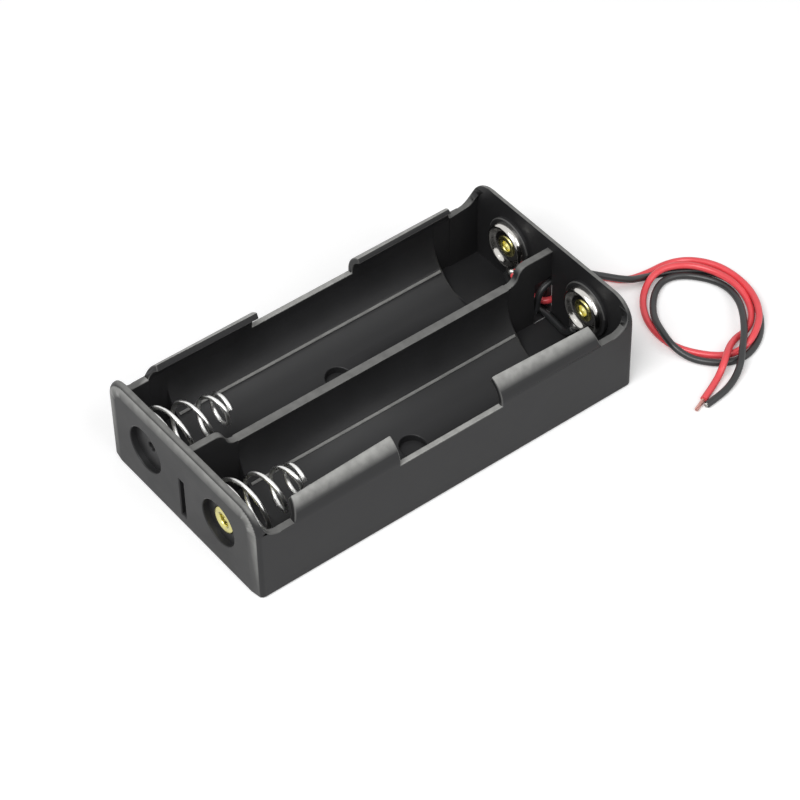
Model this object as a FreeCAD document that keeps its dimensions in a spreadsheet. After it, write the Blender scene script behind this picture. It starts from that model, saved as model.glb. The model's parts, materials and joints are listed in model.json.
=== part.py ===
import FreeCAD, Part
import math
import os
import Sketcher

# Open holder for two cylindrical cells side by side, with a red and a black lead.
# Origin at the middle of the underside. +X runs along the bays, from the sprung end to the
# plate end, +Z is up. Left is +Y and right is -Y, seen from the sprung end.

SIZES = [
    ("bay_radius", 9.25, "radius of the trough that carries a cell"),
    ("divider_wall", 1.1, "divider where the two troughs are nearest"),
    ("side_wall", 0.95, "side wall beside the middle of a trough"),
    ("trough_floor", 1.5, "floor under the lowest line of a trough"),
    ("case_length", 75.0, "outside length"),
    ("case_height", 18.0, "height of the end walls"),
    ("end_wall", 1.3, "thickness of an end wall at its top"),
    ("top_corner", 4.5, "rounding of the end walls' top corners and of the lips"),
    ("rim_setback", 0.4, "how far the rim of an end face stands back"),
    ("rim_band", 2.4, "width of that rim"),
    ("rim_round", 0.9, "rounding of the edge between an end's rim and the outside walls"),
    ("well_length", 9.2, "length of an end well, from the end wall to the trough"),
    ("well_floor", 2.0, "floor of an end well"),
    ("well_divider", 1.3, "divider between the end wells"),
    ("well_side", 1.3, "side wall beside an end well"),
    ("lip_start", 10.0, "distance from the middle to a lip's inner end"),
    ("lip_gap", 5.9, "gap between a lip's outer end and the end wall"),
    ("lip_slant", 1.2, "how much shorter a lip is at its top than at its foot, at the outer end"),
    ("lip_drop", 5.5, "how far below the end wall's top a lip starts to curve in"),
    ("lip_wall", 1.1, "thickness of a lip"),
    ("lip_sweep", 57.0, "angle through which a lip curves in, in degrees"),
    ("side_drop", 5.9, "how far below the end wall's top the side wall is between the lips"),
    ("notch_drop", 5.1, "how far below the end wall's top the side wall is beyond a lip"),
    ("notch_round", 3.6, "radius up to the end wall beyond a lip"),
    ("divider_sag", 5.1, "how far below the end wall's top the divider is between the troughs"),
    ("divider_drop", 2.0, "how far below the end wall's top the divider is at the end walls"),
    ("divider_level", 5.2, "length of the divider at that height, from the end wall"),
    ("ledge_width", 0.5, "width of the fine ledges along a trough"),
    ("ledge_rise", 0.25, "how far a ledge stands out of the trough"),
    ("ledge_angle", 48.0, "angle of a ledge from the lowest line of the trough, in degrees"),
    ("ledge_gap", 0.4, "gap between a ledge's end and the end well"),
    ("screw_hole", 2.2, "radius of the moulded screw hole in each trough's floor"),
    ("screw_skin", 0.4, "skin left under a screw hole, which the screw pierces"),
    ("spring_height", 9.0, "height of the springs' axes and of the recesses outside them"),
    ("contact_height", 10.2, "height of the plate contacts"),
    ("seat_rise", 0.7, "thickness of the round seats inside the end walls"),
    ("spring_seat", 6.9, "radius of a spring's seat"),
    ("contact_seat", 5.0, "radius of a plate contact's seat"),
    ("recess_radius", 4.15, "radius of the round recesses in the end faces"),
    ("recess_depth", 1.2, "depth of those recesses"),
    ("pilot_hole", 0.8, "radius of the open hole behind the left spring"),
    ("slot_width", 1.25, "width of the upright slot in each end wall"),
    ("slot_foot", 2.2, "height of the slot's lower end"),
    ("slot_head", 10.2, "height of the slot's upper end"),
    ("window_length", 3.6, "length of the gap in the divider's foot at an end wall"),
    ("window_head", 10.4, "height of that gap's top"),
    ("channel_width", 1.6, "width of the wire channel in the underside"),
    ("channel_depth", 1.5, "depth of the wire channel"),
    ("sheet_metal", 0.3, "thickness of the plated contact parts"),
    ("strip_plate", 6.2, "radius of the strip's round plate under a spring"),
    ("strip_bar", 3.0, "height of the strip between its plates"),
    ("strip_tab", 3.6, "height of the foot of the strip's solder tab"),
    ("ear_width", 1.4, "width of the ears that hold a spring's base turn"),
    ("ear_height", 1.42, "how far an ear stands up beside the base turn"),
    ("ear_grip", 0.13, "how far an ear's fold reaches over the wire"),
    ("plate_radius", 4.3, "radius of a contact plate"),
    ("plate_bead", 0.45, "how far the bead round a contact plate stands out"),
    ("bead_width", 1.2, "width of that bead"),
    ("plate_tab_width", 3.6, "width of a contact plate's solder tab"),
    ("plate_tab_foot", 4.2, "height of the foot of that tab"),
    ("plate_tab_shift", 1.6, "how far the tab lies from the plate's middle, towards the divider"),
    ("eyelet_bore", 0.95, "inner radius of an eyelet"),
    ("eyelet_barrel", 1.4, "outer radius of an eyelet's barrel"),
    ("eyelet_flange", 2.0, "radius of an eyelet's flanges"),
    ("eyelet_sheet", 0.3, "thickness of an eyelet's flanges"),
    ("eyelet_fit", 0.03, "clearance round an eyelet's barrel"),
    ("spring_wire", 0.75, "diameter of the spring wire"),
    ("spring_base", 5.45, "radius of a spring's base turn, at the wire's middle"),
    ("spring_tip", 2.6, "radius of a spring's last turn, at the wire's middle"),
    ("spring_length", 12.9, "free length of a spring"),
    ("spring_turns", 4.5, "turns of a spring, with its closed ends"),
    ("spring_start", -30.0, "where a spring's wire starts, from +Y towards +Z, in degrees"),
    ("closed_turns", 1.0, "closed turns at each end of a spring"),
    ("closed_pitch", 0.85, "rise of a closed turn"),
    ("running_gap", 0.06, "clearance between a spring and its plate"),
    ("lead_diameter", 1.2, "outside diameter of a lead"),
    ("strand_bundle", 0.7, "diameter of the bare strands at a lead's end"),
    ("strand_length", 2.6, "length of bare strands at a lead's end"),
    ("red_exit", 4.3, "height at which the red lead leaves the slot"),
    ("black_exit", 8.7, "height at which the black lead leaves the slot"),
    ("held_bend", 1.9, "bend radius of a lead held inside the case"),
    ("solder_radius", 0.9, "radius of a solder joint"),
    ("coil_rise", 1.3, "height of one lead's coil"),
    ("coil_band", 2.5, "width of the band of turns in a coil"),
    ("coil_gap", 0.1, "gap between the two coils, one on the other"),
    ("black_coil_out", 18.7, "from the case to the middle of the black coil, along X"),
    ("black_coil_y", -16.0, "middle of the black coil along Y"),
    ("black_coil_short", 8.6, "half the black coil's size along X, at its middle line"),
    ("black_coil_long", 10.6, "half the black coil's size along Y, at its middle line"),
    ("red_coil_out", 20.0, "from the case to the middle of the red coil, along X"),
    ("red_coil_y", -14.5, "middle of the red coil along Y"),
    ("red_coil_short", 9.9, "half the red coil's size along X, at its middle line"),
    ("red_coil_long", 11.5, "half the red coil's size along Y, at its middle line"),
]

doc = FreeCAD.newDocument("cell_holder")
sheet = doc.addObject("Spreadsheet::Sheet", "Sizes")
for row, (alias, value, meaning) in enumerate(SIZES, start=1):
    sheet.set(f"A{row}", meaning)
    sheet.set(f"B{row}", str(value))
    sheet.setAlias(f"B{row}", alias)
doc.recompute()

# Lengths that follow from the sizes, as expressions.
HALF_LENGTH = "Sizes.case_length / 2"
INNER_END = "(Sizes.case_length / 2 - Sizes.end_wall)"
BAY_Y = "(Sizes.divider_wall / 2 + Sizes.bay_radius)"
BAY_HEIGHT = "(Sizes.trough_floor + Sizes.bay_radius)"
HALF_WIDTH = f"({BAY_Y} + Sizes.bay_radius + Sizes.side_wall)"
ROUND_Y = f"({HALF_WIDTH} - Sizes.top_corner)"
SEAT_FACE = f"({INNER_END} - Sizes.seat_rise)"
PLATE_FACE = f"({SEAT_FACE} - Sizes.sheet_metal)"
WELL_START = f"({INNER_END} - Sizes.well_length)"
LIP_END = f"({INNER_END} - Sizes.lip_gap)"
LIP_SPRING = "(Sizes.case_height - Sizes.lip_drop)"
SIDE_NOTCH = "(Sizes.case_height - Sizes.notch_drop)"
DIVIDER_MIDDLE = "(Sizes.case_height - Sizes.divider_sag)"
DIVIDER_END = "(Sizes.case_height - Sizes.divider_drop)"
DIVIDER_STEP = f"({INNER_END} - Sizes.divider_level)"
WINDOW_START = f"({INNER_END} - Sizes.window_length)"
OVER = "1"
MITRED = 1
LEFT, RIGHT = 1, -1
SPRING_END, PLATE_END = -1, 1

parts = []


def size(expression):
    """Value of an expression in the sizes, in millimetres or degrees."""
    return float(sheet.evalExpression(expression.replace("Sizes.", "")))


def keep(obj, name):
    """Label a finished sub-part, which names its file."""
    obj.Label = name
    parts.append(obj)
    return obj


def new_body(name):
    """Empty PartDesign body for one sub-part."""
    return keep(doc.addObject("PartDesign::Body", name), name)


def new_sketch(body, name, role, offset=("0", "0", "0")):
    """Sketch on one of the body's own origin planes, moved by three expressions."""
    sketch = body.newObject("Sketcher::SketchObject", name)
    plane = next(f for f in body.Origin.OriginFeatures if f.Role == role)
    sketch.AttachmentSupport = [(plane, "")]
    sketch.MapMode = "FlatFace"
    for axis, expression in zip("xyz", offset):
        sketch.setExpression(f"AttachmentOffset.Base.{axis}", expression)
    return sketch


def tie(sketch, constraint, expression):
    """Add a constraint whose value follows an expression."""
    index = sketch.addConstraint(constraint)
    sketch.setExpression(f"Constraints[{index}]", expression)


def arc_between(start, end, radius, side):
    """Arc of under half a turn; side is +1 if its centre lies left of start to end."""
    chord = end - start
    middle = (start + end) * 0.5
    left = FreeCAD.Vector(-chord.y, chord.x, 0).normalize()
    height = math.sqrt(max(radius ** 2 - (chord.Length / 2) ** 2, 0.0))
    centre = middle + left * (side * height)
    first, last = (start, end) if side > 0 else (end, start)
    angles = [math.atan2(p.y - centre.y, p.x - centre.x) for p in (first, last)]
    circle = Part.Circle(centre, FreeCAD.Vector(0, 0, 1), radius)
    return Part.ArcOfCircle(circle, angles[0], angles[1])


def outline(sketch, corners, arcs=None):
    """Closed outline through corners given as expressions; arcs holds (radius, side) by corner."""
    arcs = arcs or {}
    points = [FreeCAD.Vector(size(x), size(y), 0) for x, y in corners]
    ends = []
    for i, start in enumerate(points):
        end = points[(i + 1) % len(points)]
        if i in arcs:
            radius, side = arcs[i]
            geometry = sketch.addGeometry(arc_between(start, end, size(radius), side), False)
            tie(sketch, Sketcher.Constraint("Radius", geometry, size(radius)), radius)
            ends.append((geometry, 1, 2) if side > 0 else (geometry, 2, 1))
        else:
            geometry = sketch.addGeometry(Part.LineSegment(start, end), False)
            ends.append((geometry, 1, 2))
    for i, (geometry, first, last) in enumerate(ends):
        following, joined, _ = ends[(i + 1) % len(ends)]
        sketch.addConstraint(Sketcher.Constraint("Coincident", geometry, last, following, joined))
        for kind, k in (("DistanceX", 0), ("DistanceY", 1)):
            constraint = Sketcher.Constraint(kind, -1, 1, geometry, first, points[i][k])
            tie(sketch, constraint, corners[i][k])


def rectangle(sketch, low, high):
    """Upright rectangle between two corners given as expressions."""
    outline(sketch, [low, (high[0], low[1]), high, (low[0], high[1])])


def disc(sketch, centre, radius):
    """Circle with its centre and radius given as expressions."""
    middle = FreeCAD.Vector(size(centre[0]), size(centre[1]), 0)
    circle = sketch.addGeometry(Part.Circle(middle, FreeCAD.Vector(0, 0, 1), size(radius)), False)
    tie(sketch, Sketcher.Constraint("Radius", circle, size(radius)), radius)
    tie(sketch, Sketcher.Constraint("DistanceX", -1, 1, circle, 3, middle.x), centre[0])
    tie(sketch, Sketcher.Constraint("DistanceY", -1, 1, circle, 3, middle.y), centre[1])


def feature(body, kind, sketch, length, symmetric=False):
    """Pad or Pocket of a sketch. A pocket that cuts nothing, or a pad that adds nothing, stops."""
    before = body.Shape.Volume if body.Tip else 0.0
    made = body.newObject(f"PartDesign::{kind}", f"{sketch.Name}_{kind.lower()}")
    made.Profile = sketch
    made.setExpression("Length", length)
    if symmetric:
        made.SideType = "Symmetric"
    doc.recompute()
    change = made.Shape.Volume - before
    if abs(change) < 1e-4 or (change > 0) != (kind == "Pad"):
        raise RuntimeError(f"{made.Name} changed the volume by {change:.4f}")
    return made


def edges_where(shape, test):
    """Names of the shape's edges whose bounding box passes a test."""
    return [f"Edge{i}" for i, edge in enumerate(shape.Edges, start=1) if test(edge.BoundBox)]


def signed(sign, expression):
    """The expression, or its negative."""
    return expression if sign > 0 else f"-({expression})"


# Case: one moulding

case = new_body("case")


def case_block():
    """Solid prism with rounded top corners and a bevelled rim round each end face."""
    sketch = new_sketch(case, "block", "YZ_Plane")
    rectangle(sketch, (f"-{HALF_WIDTH}", "0"), (HALF_WIDTH, "Sizes.case_height"))
    block = feature(case, "Pad", sketch, "Sizes.case_length", symmetric=True)

    top = size("case_height")
    corners = case.newObject("PartDesign::Fillet", "top_corners")
    corners.Base = (block, edges_where(block.Shape, lambda b: b.ZMin > top - 1e-6 and b.YLength < 1e-6))
    corners.setExpression("Radius", "Sizes.top_corner")
    doc.recompute()

    rim = case.newObject("PartDesign::Chamfer", "end_rims")
    rim.Base = (corners, edges_where(corners.Shape, lambda b: b.XLength < 1e-6 and b.ZMax > 1e-6))
    rim.ChamferType = "Two distances"
    rim.setExpression("Size", "Sizes.rim_setback")
    rim.setExpression("Size2", "Sizes.rim_band")
    doc.recompute()

    back = size(f"{HALF_LENGTH} - Sizes.rim_setback")
    soft = case.newObject("PartDesign::Fillet", "rim_rounds")
    soft.Base = (rim, edges_where(rim.Shape, lambda b: abs(abs(b.XMin) - back) < 1e-3
                                  and b.XLength < 1e-3 and b.ZMax > 1e-3))
    soft.setExpression("Radius", "Sizes.rim_round")
    doc.recompute()


def bay_outline(sketch, side, spring_line, wall, trough):
    """Section of one bay: trough or well below, and the inside of the lip above."""
    inner_round = f"(Sizes.top_corner - {wall})"
    sweep = "Sizes.lip_sweep * 1 deg"
    lip_x = f"({ROUND_Y} + {inner_round} * cos({sweep}))"
    lip_z = f"({spring_line} + {inner_round} * sin({sweep}))"
    edge_x = f"({ROUND_Y} + Sizes.top_corner * cos({sweep}))"
    edge_z = f"({spring_line} + Sizes.top_corner * sin({sweep}))"
    above = f"Sizes.case_height + {OVER}"
    outer = f"({ROUND_Y} + {inner_round})"
    if trough:
        rise = f"({DIVIDER_MIDDLE} - {BAY_HEIGHT})"
        inner = f"({BAY_Y} - sqrt(Sizes.bay_radius ^ 2 - {rise} ^ 2))"
        corners = [(inner, above), (inner, DIVIDER_MIDDLE), (BAY_Y, "Sizes.trough_floor")]
        corners += [(f"{BAY_Y} + Sizes.bay_radius", BAY_HEIGHT), (outer, spring_line)]
        arcs = {1: ("Sizes.bay_radius", 1), 2: ("Sizes.bay_radius", 1)}
    else:
        inner = "Sizes.well_divider / 2"
        corners = [(inner, above), (inner, "Sizes.well_floor")]
        corners += [(outer, "Sizes.well_floor"), (outer, spring_line)]
        arcs = {}
    arcs[len(corners) - 1] = (inner_round, 1)
    corners += [(lip_x, lip_z), (edge_x, edge_z), (edge_x, above)]
    if side < 0:
        corners = [(f"-({x})", z) for x, z in corners]
        arcs = {i: (radius, -turn) for i, (radius, turn) in arcs.items()}
    outline(sketch, corners, arcs)


def case_bays():
    """Troughs and end wells, open above, with the side walls curving in as lips."""
    for side, word in ((LEFT, "left"), (RIGHT, "right")):
        sketch = new_sketch(case, f"trough_{word}", "YZ_Plane")
        bay_outline(sketch, side, LIP_SPRING, "Sizes.lip_wall", trough=True)
        feature(case, "Pocket", sketch, f"2 * {WELL_START}", symmetric=True)
        for end, place in ((SPRING_END, "spring_end"), (PLATE_END, "plate_end")):
            start = LIP_END if end > 0 else f"-{WELL_START}"
            sketch = new_sketch(case, f"well_{word}_{place}", "YZ_Plane", ("0", "0", start))
            bay_outline(sketch, side, LIP_SPRING, "Sizes.lip_wall", trough=False)
            feature(case, "Pocket", sketch, f"{LIP_END} - {WELL_START}")
            start = INNER_END if end > 0 else f"-{LIP_END}"
            corner_line = "(Sizes.case_height - Sizes.top_corner)"
            sketch = new_sketch(case, f"corner_{word}_{place}", "YZ_Plane", ("0", "0", start))
            bay_outline(sketch, side, corner_line, "Sizes.well_side", trough=False)
            feature(case, "Pocket", sketch, "Sizes.lip_gap")


def case_side_walls():
    """Outside of the lips, and the outline of the side walls' top edges."""
    sweep = "Sizes.lip_sweep * 1 deg"
    edge_x = f"({ROUND_Y} + Sizes.top_corner * cos({sweep}))"
    edge_z = f"({LIP_SPRING} + Sizes.top_corner * sin({sweep}))"
    above = f"Sizes.case_height + {OVER}"
    outside = f"{HALF_WIDTH} + {OVER}"
    for side, word in ((LEFT, "left"), (RIGHT, "right")):
        corners = [(HALF_WIDTH, LIP_SPRING), (edge_x, edge_z), (edge_x, above)]
        corners += [(outside, above), (outside, LIP_SPRING)]
        corners = [(signed(side, x), z) for x, z in corners]
        sketch = new_sketch(case, f"lip_back_{word}", "YZ_Plane")
        outline(sketch, corners, {0: ("Sizes.top_corner", side)})
        feature(case, "Pocket", sketch, f"2 * {LIP_END}", symmetric=True)

    rise = f"{SIDE_NOTCH} + Sizes.notch_round"
    middle = "Sizes.case_height - Sizes.side_drop"
    lip_top = f"{edge_z} + {OVER} / 2"
    half = [("Sizes.lip_start", middle), ("Sizes.lip_start", lip_top)]
    half += [(f"{LIP_END} - Sizes.lip_slant", lip_top), (LIP_END, SIDE_NOTCH)]
    half += [(f"{INNER_END} - Sizes.notch_round", SIDE_NOTCH), (INNER_END, rise)]
    half += [(INNER_END, above)]
    mirrored = [(f"-({x})", z) for x, z in reversed(half)]
    arcs = {4: ("Sizes.notch_round", 1), 8: ("Sizes.notch_round", 1)}
    depth = f"Sizes.top_corner + {OVER}"
    for side, word in ((LEFT, "left"), (RIGHT, "right")):
        plane = f"-{ROUND_Y}" if side > 0 else f"{HALF_WIDTH} + {OVER}"
        sketch = new_sketch(case, f"side_top_{word}", "XZ_Plane", ("0", "0", plane))
        outline(sketch, half + mirrored, arcs)
        feature(case, "Pocket", sketch, depth)


def case_divider():
    """Top edge of the divider: low between the troughs, full height at the end wells."""
    run = f"({DIVIDER_STEP} - {WELL_START})"
    drop = f"({DIVIDER_END} - {DIVIDER_MIDDLE})"
    bend = f"({run} ^ 2 + {drop} ^ 2) / (4 * {drop})"
    halfway = (f"({DIVIDER_STEP} + {WELL_START}) / 2", f"({DIVIDER_END} + {DIVIDER_MIDDLE}) / 2")
    above = f"Sizes.case_height + {OVER}"
    half = [(WELL_START, DIVIDER_MIDDLE), halfway]
    half += [(DIVIDER_STEP, DIVIDER_END), (INNER_END, DIVIDER_END)]
    half += [(INNER_END, above)]
    mirrored = [(f"-({x})", z) for x, z in reversed(half)]
    arcs = {0: (bend, 1), 1: (bend, -1), 7: (bend, -1), 8: (bend, 1)}
    sketch = new_sketch(case, "divider_top", "XZ_Plane")
    outline(sketch, half + mirrored, arcs)
    feature(case, "Pocket", sketch, f"2 * ({BAY_Y} - Sizes.bay_radius * 0.9)", symmetric=True)


def case_ledges():
    """Fine ledges along each trough, one each side of its lowest line."""
    angle = "Sizes.ledge_angle * 1 deg"
    inner = "(Sizes.bay_radius - Sizes.ledge_rise)"
    outer = "(Sizes.bay_radius + Sizes.side_wall / 2)"
    half = "Sizes.ledge_width / 2"
    for side, word in ((LEFT, "left"), (RIGHT, "right")):
        sketch = new_sketch(case, f"ledges_{word}", "YZ_Plane")
        for turn in (1, -1):
            corners = []
            for reach, across in ((inner, f"-{half}"), (outer, f"-{half}"), (outer, half), (inner, half)):
                x = f"{reach} * sin({angle}) + {across} * cos({angle})"
                z = f"{BAY_HEIGHT} - {reach} * cos({angle}) + {across} * sin({angle})"
                corners.append((f"{signed(side, BAY_Y)} + {turn} * ({x})", z))
            outline(sketch, corners)
        feature(case, "Pad", sketch, f"2 * ({WELL_START} - Sizes.ledge_gap)", symmetric=True)


def case_ends():
    """Seats inside the end walls, recesses outside them, eyelet holes and the two slots."""
    for side, word in ((LEFT, "left"), (RIGHT, "right")):
        centre_y = signed(side, BAY_Y)
        for end, place, height, seat in (
            (SPRING_END, "spring_end", "Sizes.spring_height", "Sizes.spring_seat"),
            (PLATE_END, "plate_end", "Sizes.contact_height", "Sizes.contact_seat"),
        ):
            start = SEAT_FACE if end > 0 else f"-{INNER_END}"
            sketch = new_sketch(case, f"seat_{word}_{place}", "YZ_Plane", ("0", "0", start))
            disc(sketch, (centre_y, height), seat)
            feature(case, "Pad", sketch, "Sizes.seat_rise")

            start = HALF_LENGTH if end > 0 else f"-{HALF_LENGTH} + Sizes.recess_depth"
            sketch = new_sketch(case, f"recess_{word}_{place}", "YZ_Plane", ("0", "0", start))
            disc(sketch, (centre_y, height), "Sizes.recess_radius")
            feature(case, "Pocket", sketch, "Sizes.recess_depth")

            plain = end == SPRING_END and side == LEFT
            hole = "Sizes.pilot_hole" if plain else "Sizes.eyelet_barrel + Sizes.eyelet_fit"
            start = HALF_LENGTH if end > 0 else f"-{SEAT_FACE}"
            sketch = new_sketch(case, f"hole_{word}_{place}", "YZ_Plane", ("0", "0", start))
            disc(sketch, (centre_y, height), hole)
            feature(case, "Pocket", sketch, f"{HALF_LENGTH} - {SEAT_FACE}")

    for end, place in ((SPRING_END, "spring_end"), (PLATE_END, "plate_end")):
        start = HALF_LENGTH if end > 0 else f"-{INNER_END}"
        sketch = new_sketch(case, f"slot_{place}", "YZ_Plane", ("0", "0", start))
        rectangle(sketch, ("-Sizes.slot_width / 2", "Sizes.slot_foot"),
                  ("Sizes.slot_width / 2", "Sizes.slot_head"))
        feature(case, "Pocket", sketch, "Sizes.end_wall")

        sketch = new_sketch(case, f"window_{place}", "XZ_Plane")
        low, high = (WINDOW_START, INNER_END) if end > 0 else (f"-{INNER_END}", f"-{WINDOW_START}")
        rectangle(sketch, (low, "Sizes.well_floor"), (high, "Sizes.window_head"))
        feature(case, "Pocket", sketch, "Sizes.well_divider", symmetric=True)

        sketch = new_sketch(case, f"riser_{place}", "XY_Plane", ("0", "0", "Sizes.well_floor"))
        rectangle(sketch, (low, "-Sizes.channel_width / 2"), (high, "Sizes.channel_width / 2"))
        feature(case, "Pocket", sketch, f"Sizes.well_floor + {OVER}")


def case_underside():
    """Wire channel under the divider and a moulded screw hole in each trough's floor."""
    sketch = new_sketch(case, "channel", "XY_Plane", ("0", "0", "Sizes.channel_depth"))
    rectangle(sketch, (f"-{WINDOW_START} - {OVER}", "-Sizes.channel_width / 2"),
              (f"{WINDOW_START} + {OVER}", "Sizes.channel_width / 2"))
    feature(case, "Pocket", sketch, f"Sizes.channel_depth + {OVER}")

    start = f"Sizes.trough_floor + {OVER}"
    sketch = new_sketch(case, "screw_holes", "XY_Plane", ("0", "0", start))
    for side in (LEFT, RIGHT):
        disc(sketch, ("0", signed(side, BAY_Y)), "Sizes.screw_hole")
    feature(case, "Pocket", sketch, f"{start} - Sizes.screw_skin")


case_block()
case_bays()
case_side_walls()
case_divider()
case_ledges()
case_ends()
case_underside()


# Plated strip behind both springs, with ears that hold their base turns from below and beside

def spring_strip():
    """Two round plates joined by a bar through the divider's foot, with a solder tab."""
    body = new_body("spring_strip")
    back = f"-{SEAT_FACE}"
    metal = "Sizes.sheet_metal"
    for side, word in ((LEFT, "left"), (RIGHT, "right")):
        sketch = new_sketch(body, f"strip_disc_{word}", "YZ_Plane", ("0", "0", back))
        disc(sketch, (signed(side, BAY_Y), "Sizes.spring_height"), "Sizes.strip_plate")
        if side == LEFT:
            feature(body, "Pad", sketch, metal)
            sketch = new_sketch(body, "strip_bar", "YZ_Plane", ("0", "0", back))
            head = "Sizes.window_head - Sizes.sheet_metal"
            rectangle(sketch, (f"-{BAY_Y}", f"{head} - Sizes.strip_bar"), (BAY_Y, head))
            feature(body, "Pad", sketch, metal)
            sketch = new_sketch(body, "strip_tab", "YZ_Plane", ("0", "0", back))
            rectangle(sketch, ("-Sizes.strip_bar / 2", "Sizes.strip_tab"), ("Sizes.strip_bar / 2", head))
            feature(body, "Pad", sketch, metal)
        else:
            feature(body, "Pad", sketch, metal)
            sketch = new_sketch(body, "strip_hole", "YZ_Plane", ("0", "0", f"{back} + {metal}"))
            disc(sketch, (signed(side, BAY_Y), "Sizes.spring_height"), "Sizes.eyelet_barrel + Sizes.eyelet_fit")
            feature(body, "Pocket", sketch, metal)

    rim = "-Sizes.strip_plate"
    cover = "-(Sizes.spring_base + Sizes.spring_wire / 2 - Sizes.ear_grip)"
    face = f"-{PLATE_FACE}"
    front = f"({face} + Sizes.ear_height)"
    for side, word in ((LEFT, "left"), (RIGHT, "right")):
        place = ("0", "Sizes.spring_height", signed(-side, BAY_Y))
        sketch = new_sketch(body, f"ear_{word}", "XZ_Plane", place)
        corners = [(face, rim), (f"{front} + {metal}", rim), (f"{front} + {metal}", cover)]
        corners += [(front, cover), (front, f"{rim} + {metal}"), (face, f"{rim} + {metal}")]
        outline(sketch, corners)
        ear = feature(body, "Pad", sketch, "Sizes.ear_width", symmetric=True)
        ring = body.newObject("PartDesign::PolarPattern", f"ears_{word}")
        ring.Originals = [ear]
        ring.Axis = (sketch, ["H_Axis"])
        ring.Angle = 90
        ring.Reversed = True
        ring.Occurrences = 2
        body.Tip = ring
        doc.recompute()
    return body


spring_strip()


# Far contacts: a beaded plate with a solder tab, held by a brass eyelet

def contact_plate(side, word):
    """Round plate with a raised bead, and a tab towards the divider for the wires."""
    body = new_body(f"contact_plate_{word}")
    sketch = new_sketch(body, f"plate_profile_{word}", "XY_Plane")
    metal = "Sizes.sheet_metal"
    flat = "(Sizes.plate_radius - Sizes.bead_width)"
    hole = "(Sizes.eyelet_barrel + Sizes.eyelet_fit)"
    crest = "-Sizes.plate_bead"
    corners = [("0", hole), (metal, hole), (metal, "Sizes.plate_radius"), ("0", "Sizes.plate_radius")]
    corners += [(crest, f"Sizes.plate_radius - Sizes.bead_width / 3")]
    corners += [(crest, f"{flat} + Sizes.bead_width / 3"), ("0", flat)]
    outline(sketch, corners)
    turned = body.newObject("PartDesign::Revolution", f"plate_{word}")
    turned.Profile = sketch
    turned.ReferenceAxis = (sketch, ["H_Axis"])
    turned.Angle = 360
    doc.recompute()

    sketch = new_sketch(body, f"plate_tab_{word}", "YZ_Plane")
    middle = f"{signed(-side, 'Sizes.plate_tab_shift')}"
    foot = "Sizes.plate_tab_foot - Sizes.contact_height"
    head = f"-({flat} - Sizes.sheet_metal)"
    rectangle(sketch, (f"{middle} - Sizes.plate_tab_width / 2", foot),
              (f"{middle} + Sizes.plate_tab_width / 2", head))
    feature(body, "Pad", sketch, metal)
    body.setExpression("Placement.Base.x", PLATE_FACE)
    body.setExpression("Placement.Base.y", signed(side, BAY_Y))
    body.setExpression("Placement.Base.z", "Sizes.contact_height")
    return body


def eyelet(name, side, end, height):
    """Hollow brass rivet: flange on the plate, barrel through the wall, curled outside."""
    body = new_body(name)
    sketch = new_sketch(body, f"{name}_profile", "XY_Plane")
    grip = f"({HALF_LENGTH} - Sizes.recess_depth - {PLATE_FACE})"
    lip = "Sizes.eyelet_sheet"
    edge = "Sizes.eyelet_flange - Sizes.eyelet_sheet"
    corners = [(f"-{lip}", "Sizes.eyelet_bore"), (f"-{lip}", edge), ("0", "Sizes.eyelet_flange")]
    corners += [("0", "Sizes.eyelet_barrel"), (grip, "Sizes.eyelet_barrel")]
    corners += [(grip, "Sizes.eyelet_flange"), (f"{grip} + {lip}", edge)]
    corners += [(f"{grip} + {lip}", "Sizes.eyelet_bore")]
    outline(sketch, corners)
    turned = body.newObject("PartDesign::Revolution", f"{name}_turned")
    turned.Profile = sketch
    turned.ReferenceAxis = (sketch, ["H_Axis"])
    turned.Angle = 360
    doc.recompute()
    body.setExpression("Placement.Base.x", signed(end, PLATE_FACE))
    body.setExpression("Placement.Base.y", signed(side, BAY_Y))
    body.setExpression("Placement.Base.z", height)
    if end < 0:
        body.Placement.Rotation = FreeCAD.Rotation(FreeCAD.Vector(0, 0, 1), 180)
    return body


for side, word in ((LEFT, "left"), (RIGHT, "right")):
    contact_plate(side, word)
    eyelet(f"contact_eyelet_{word}", side, PLATE_END, "Sizes.contact_height")
eyelet("spring_eyelet", RIGHT, SPRING_END, "Sizes.spring_height")
doc.recompute()


# Wire paths: straight runs joined by tangent arcs

def rounded_path(points, largest=None):
    """Wire along the route, and the radius of the arc at each inner point."""
    runs = [(points[i + 1] - points[i]).Length for i in range(len(points) - 1)]
    edges = []
    radii = []
    position = points[0]
    for i in range(1, len(points) - 1):
        back = (points[i - 1] - points[i]).normalize()
        ahead = (points[i + 1] - points[i]).normalize()
        turn = math.pi - back.getAngle(ahead)
        radius = 0.45 * min(runs[i - 1], runs[i]) / math.tan(turn / 2)
        radius = min(radius, largest or radius)
        reach = radius * math.tan(turn / 2)
        start = points[i] + back * reach
        end = points[i] + ahead * reach
        bisector = (back + ahead).normalize()
        middle = points[i] + bisector * (radius / math.cos(turn / 2) - radius)
        edges.append(Part.LineSegment(position, start).toShape())
        edges.append(Part.Arc(start, middle, end).toShape())
        radii.append(radius)
        position = end
    edges.append(Part.LineSegment(position, points[-1]).toShape())
    return Part.Wire(edges), radii


# Springs: conical, right-handed, closed at both ends

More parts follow.
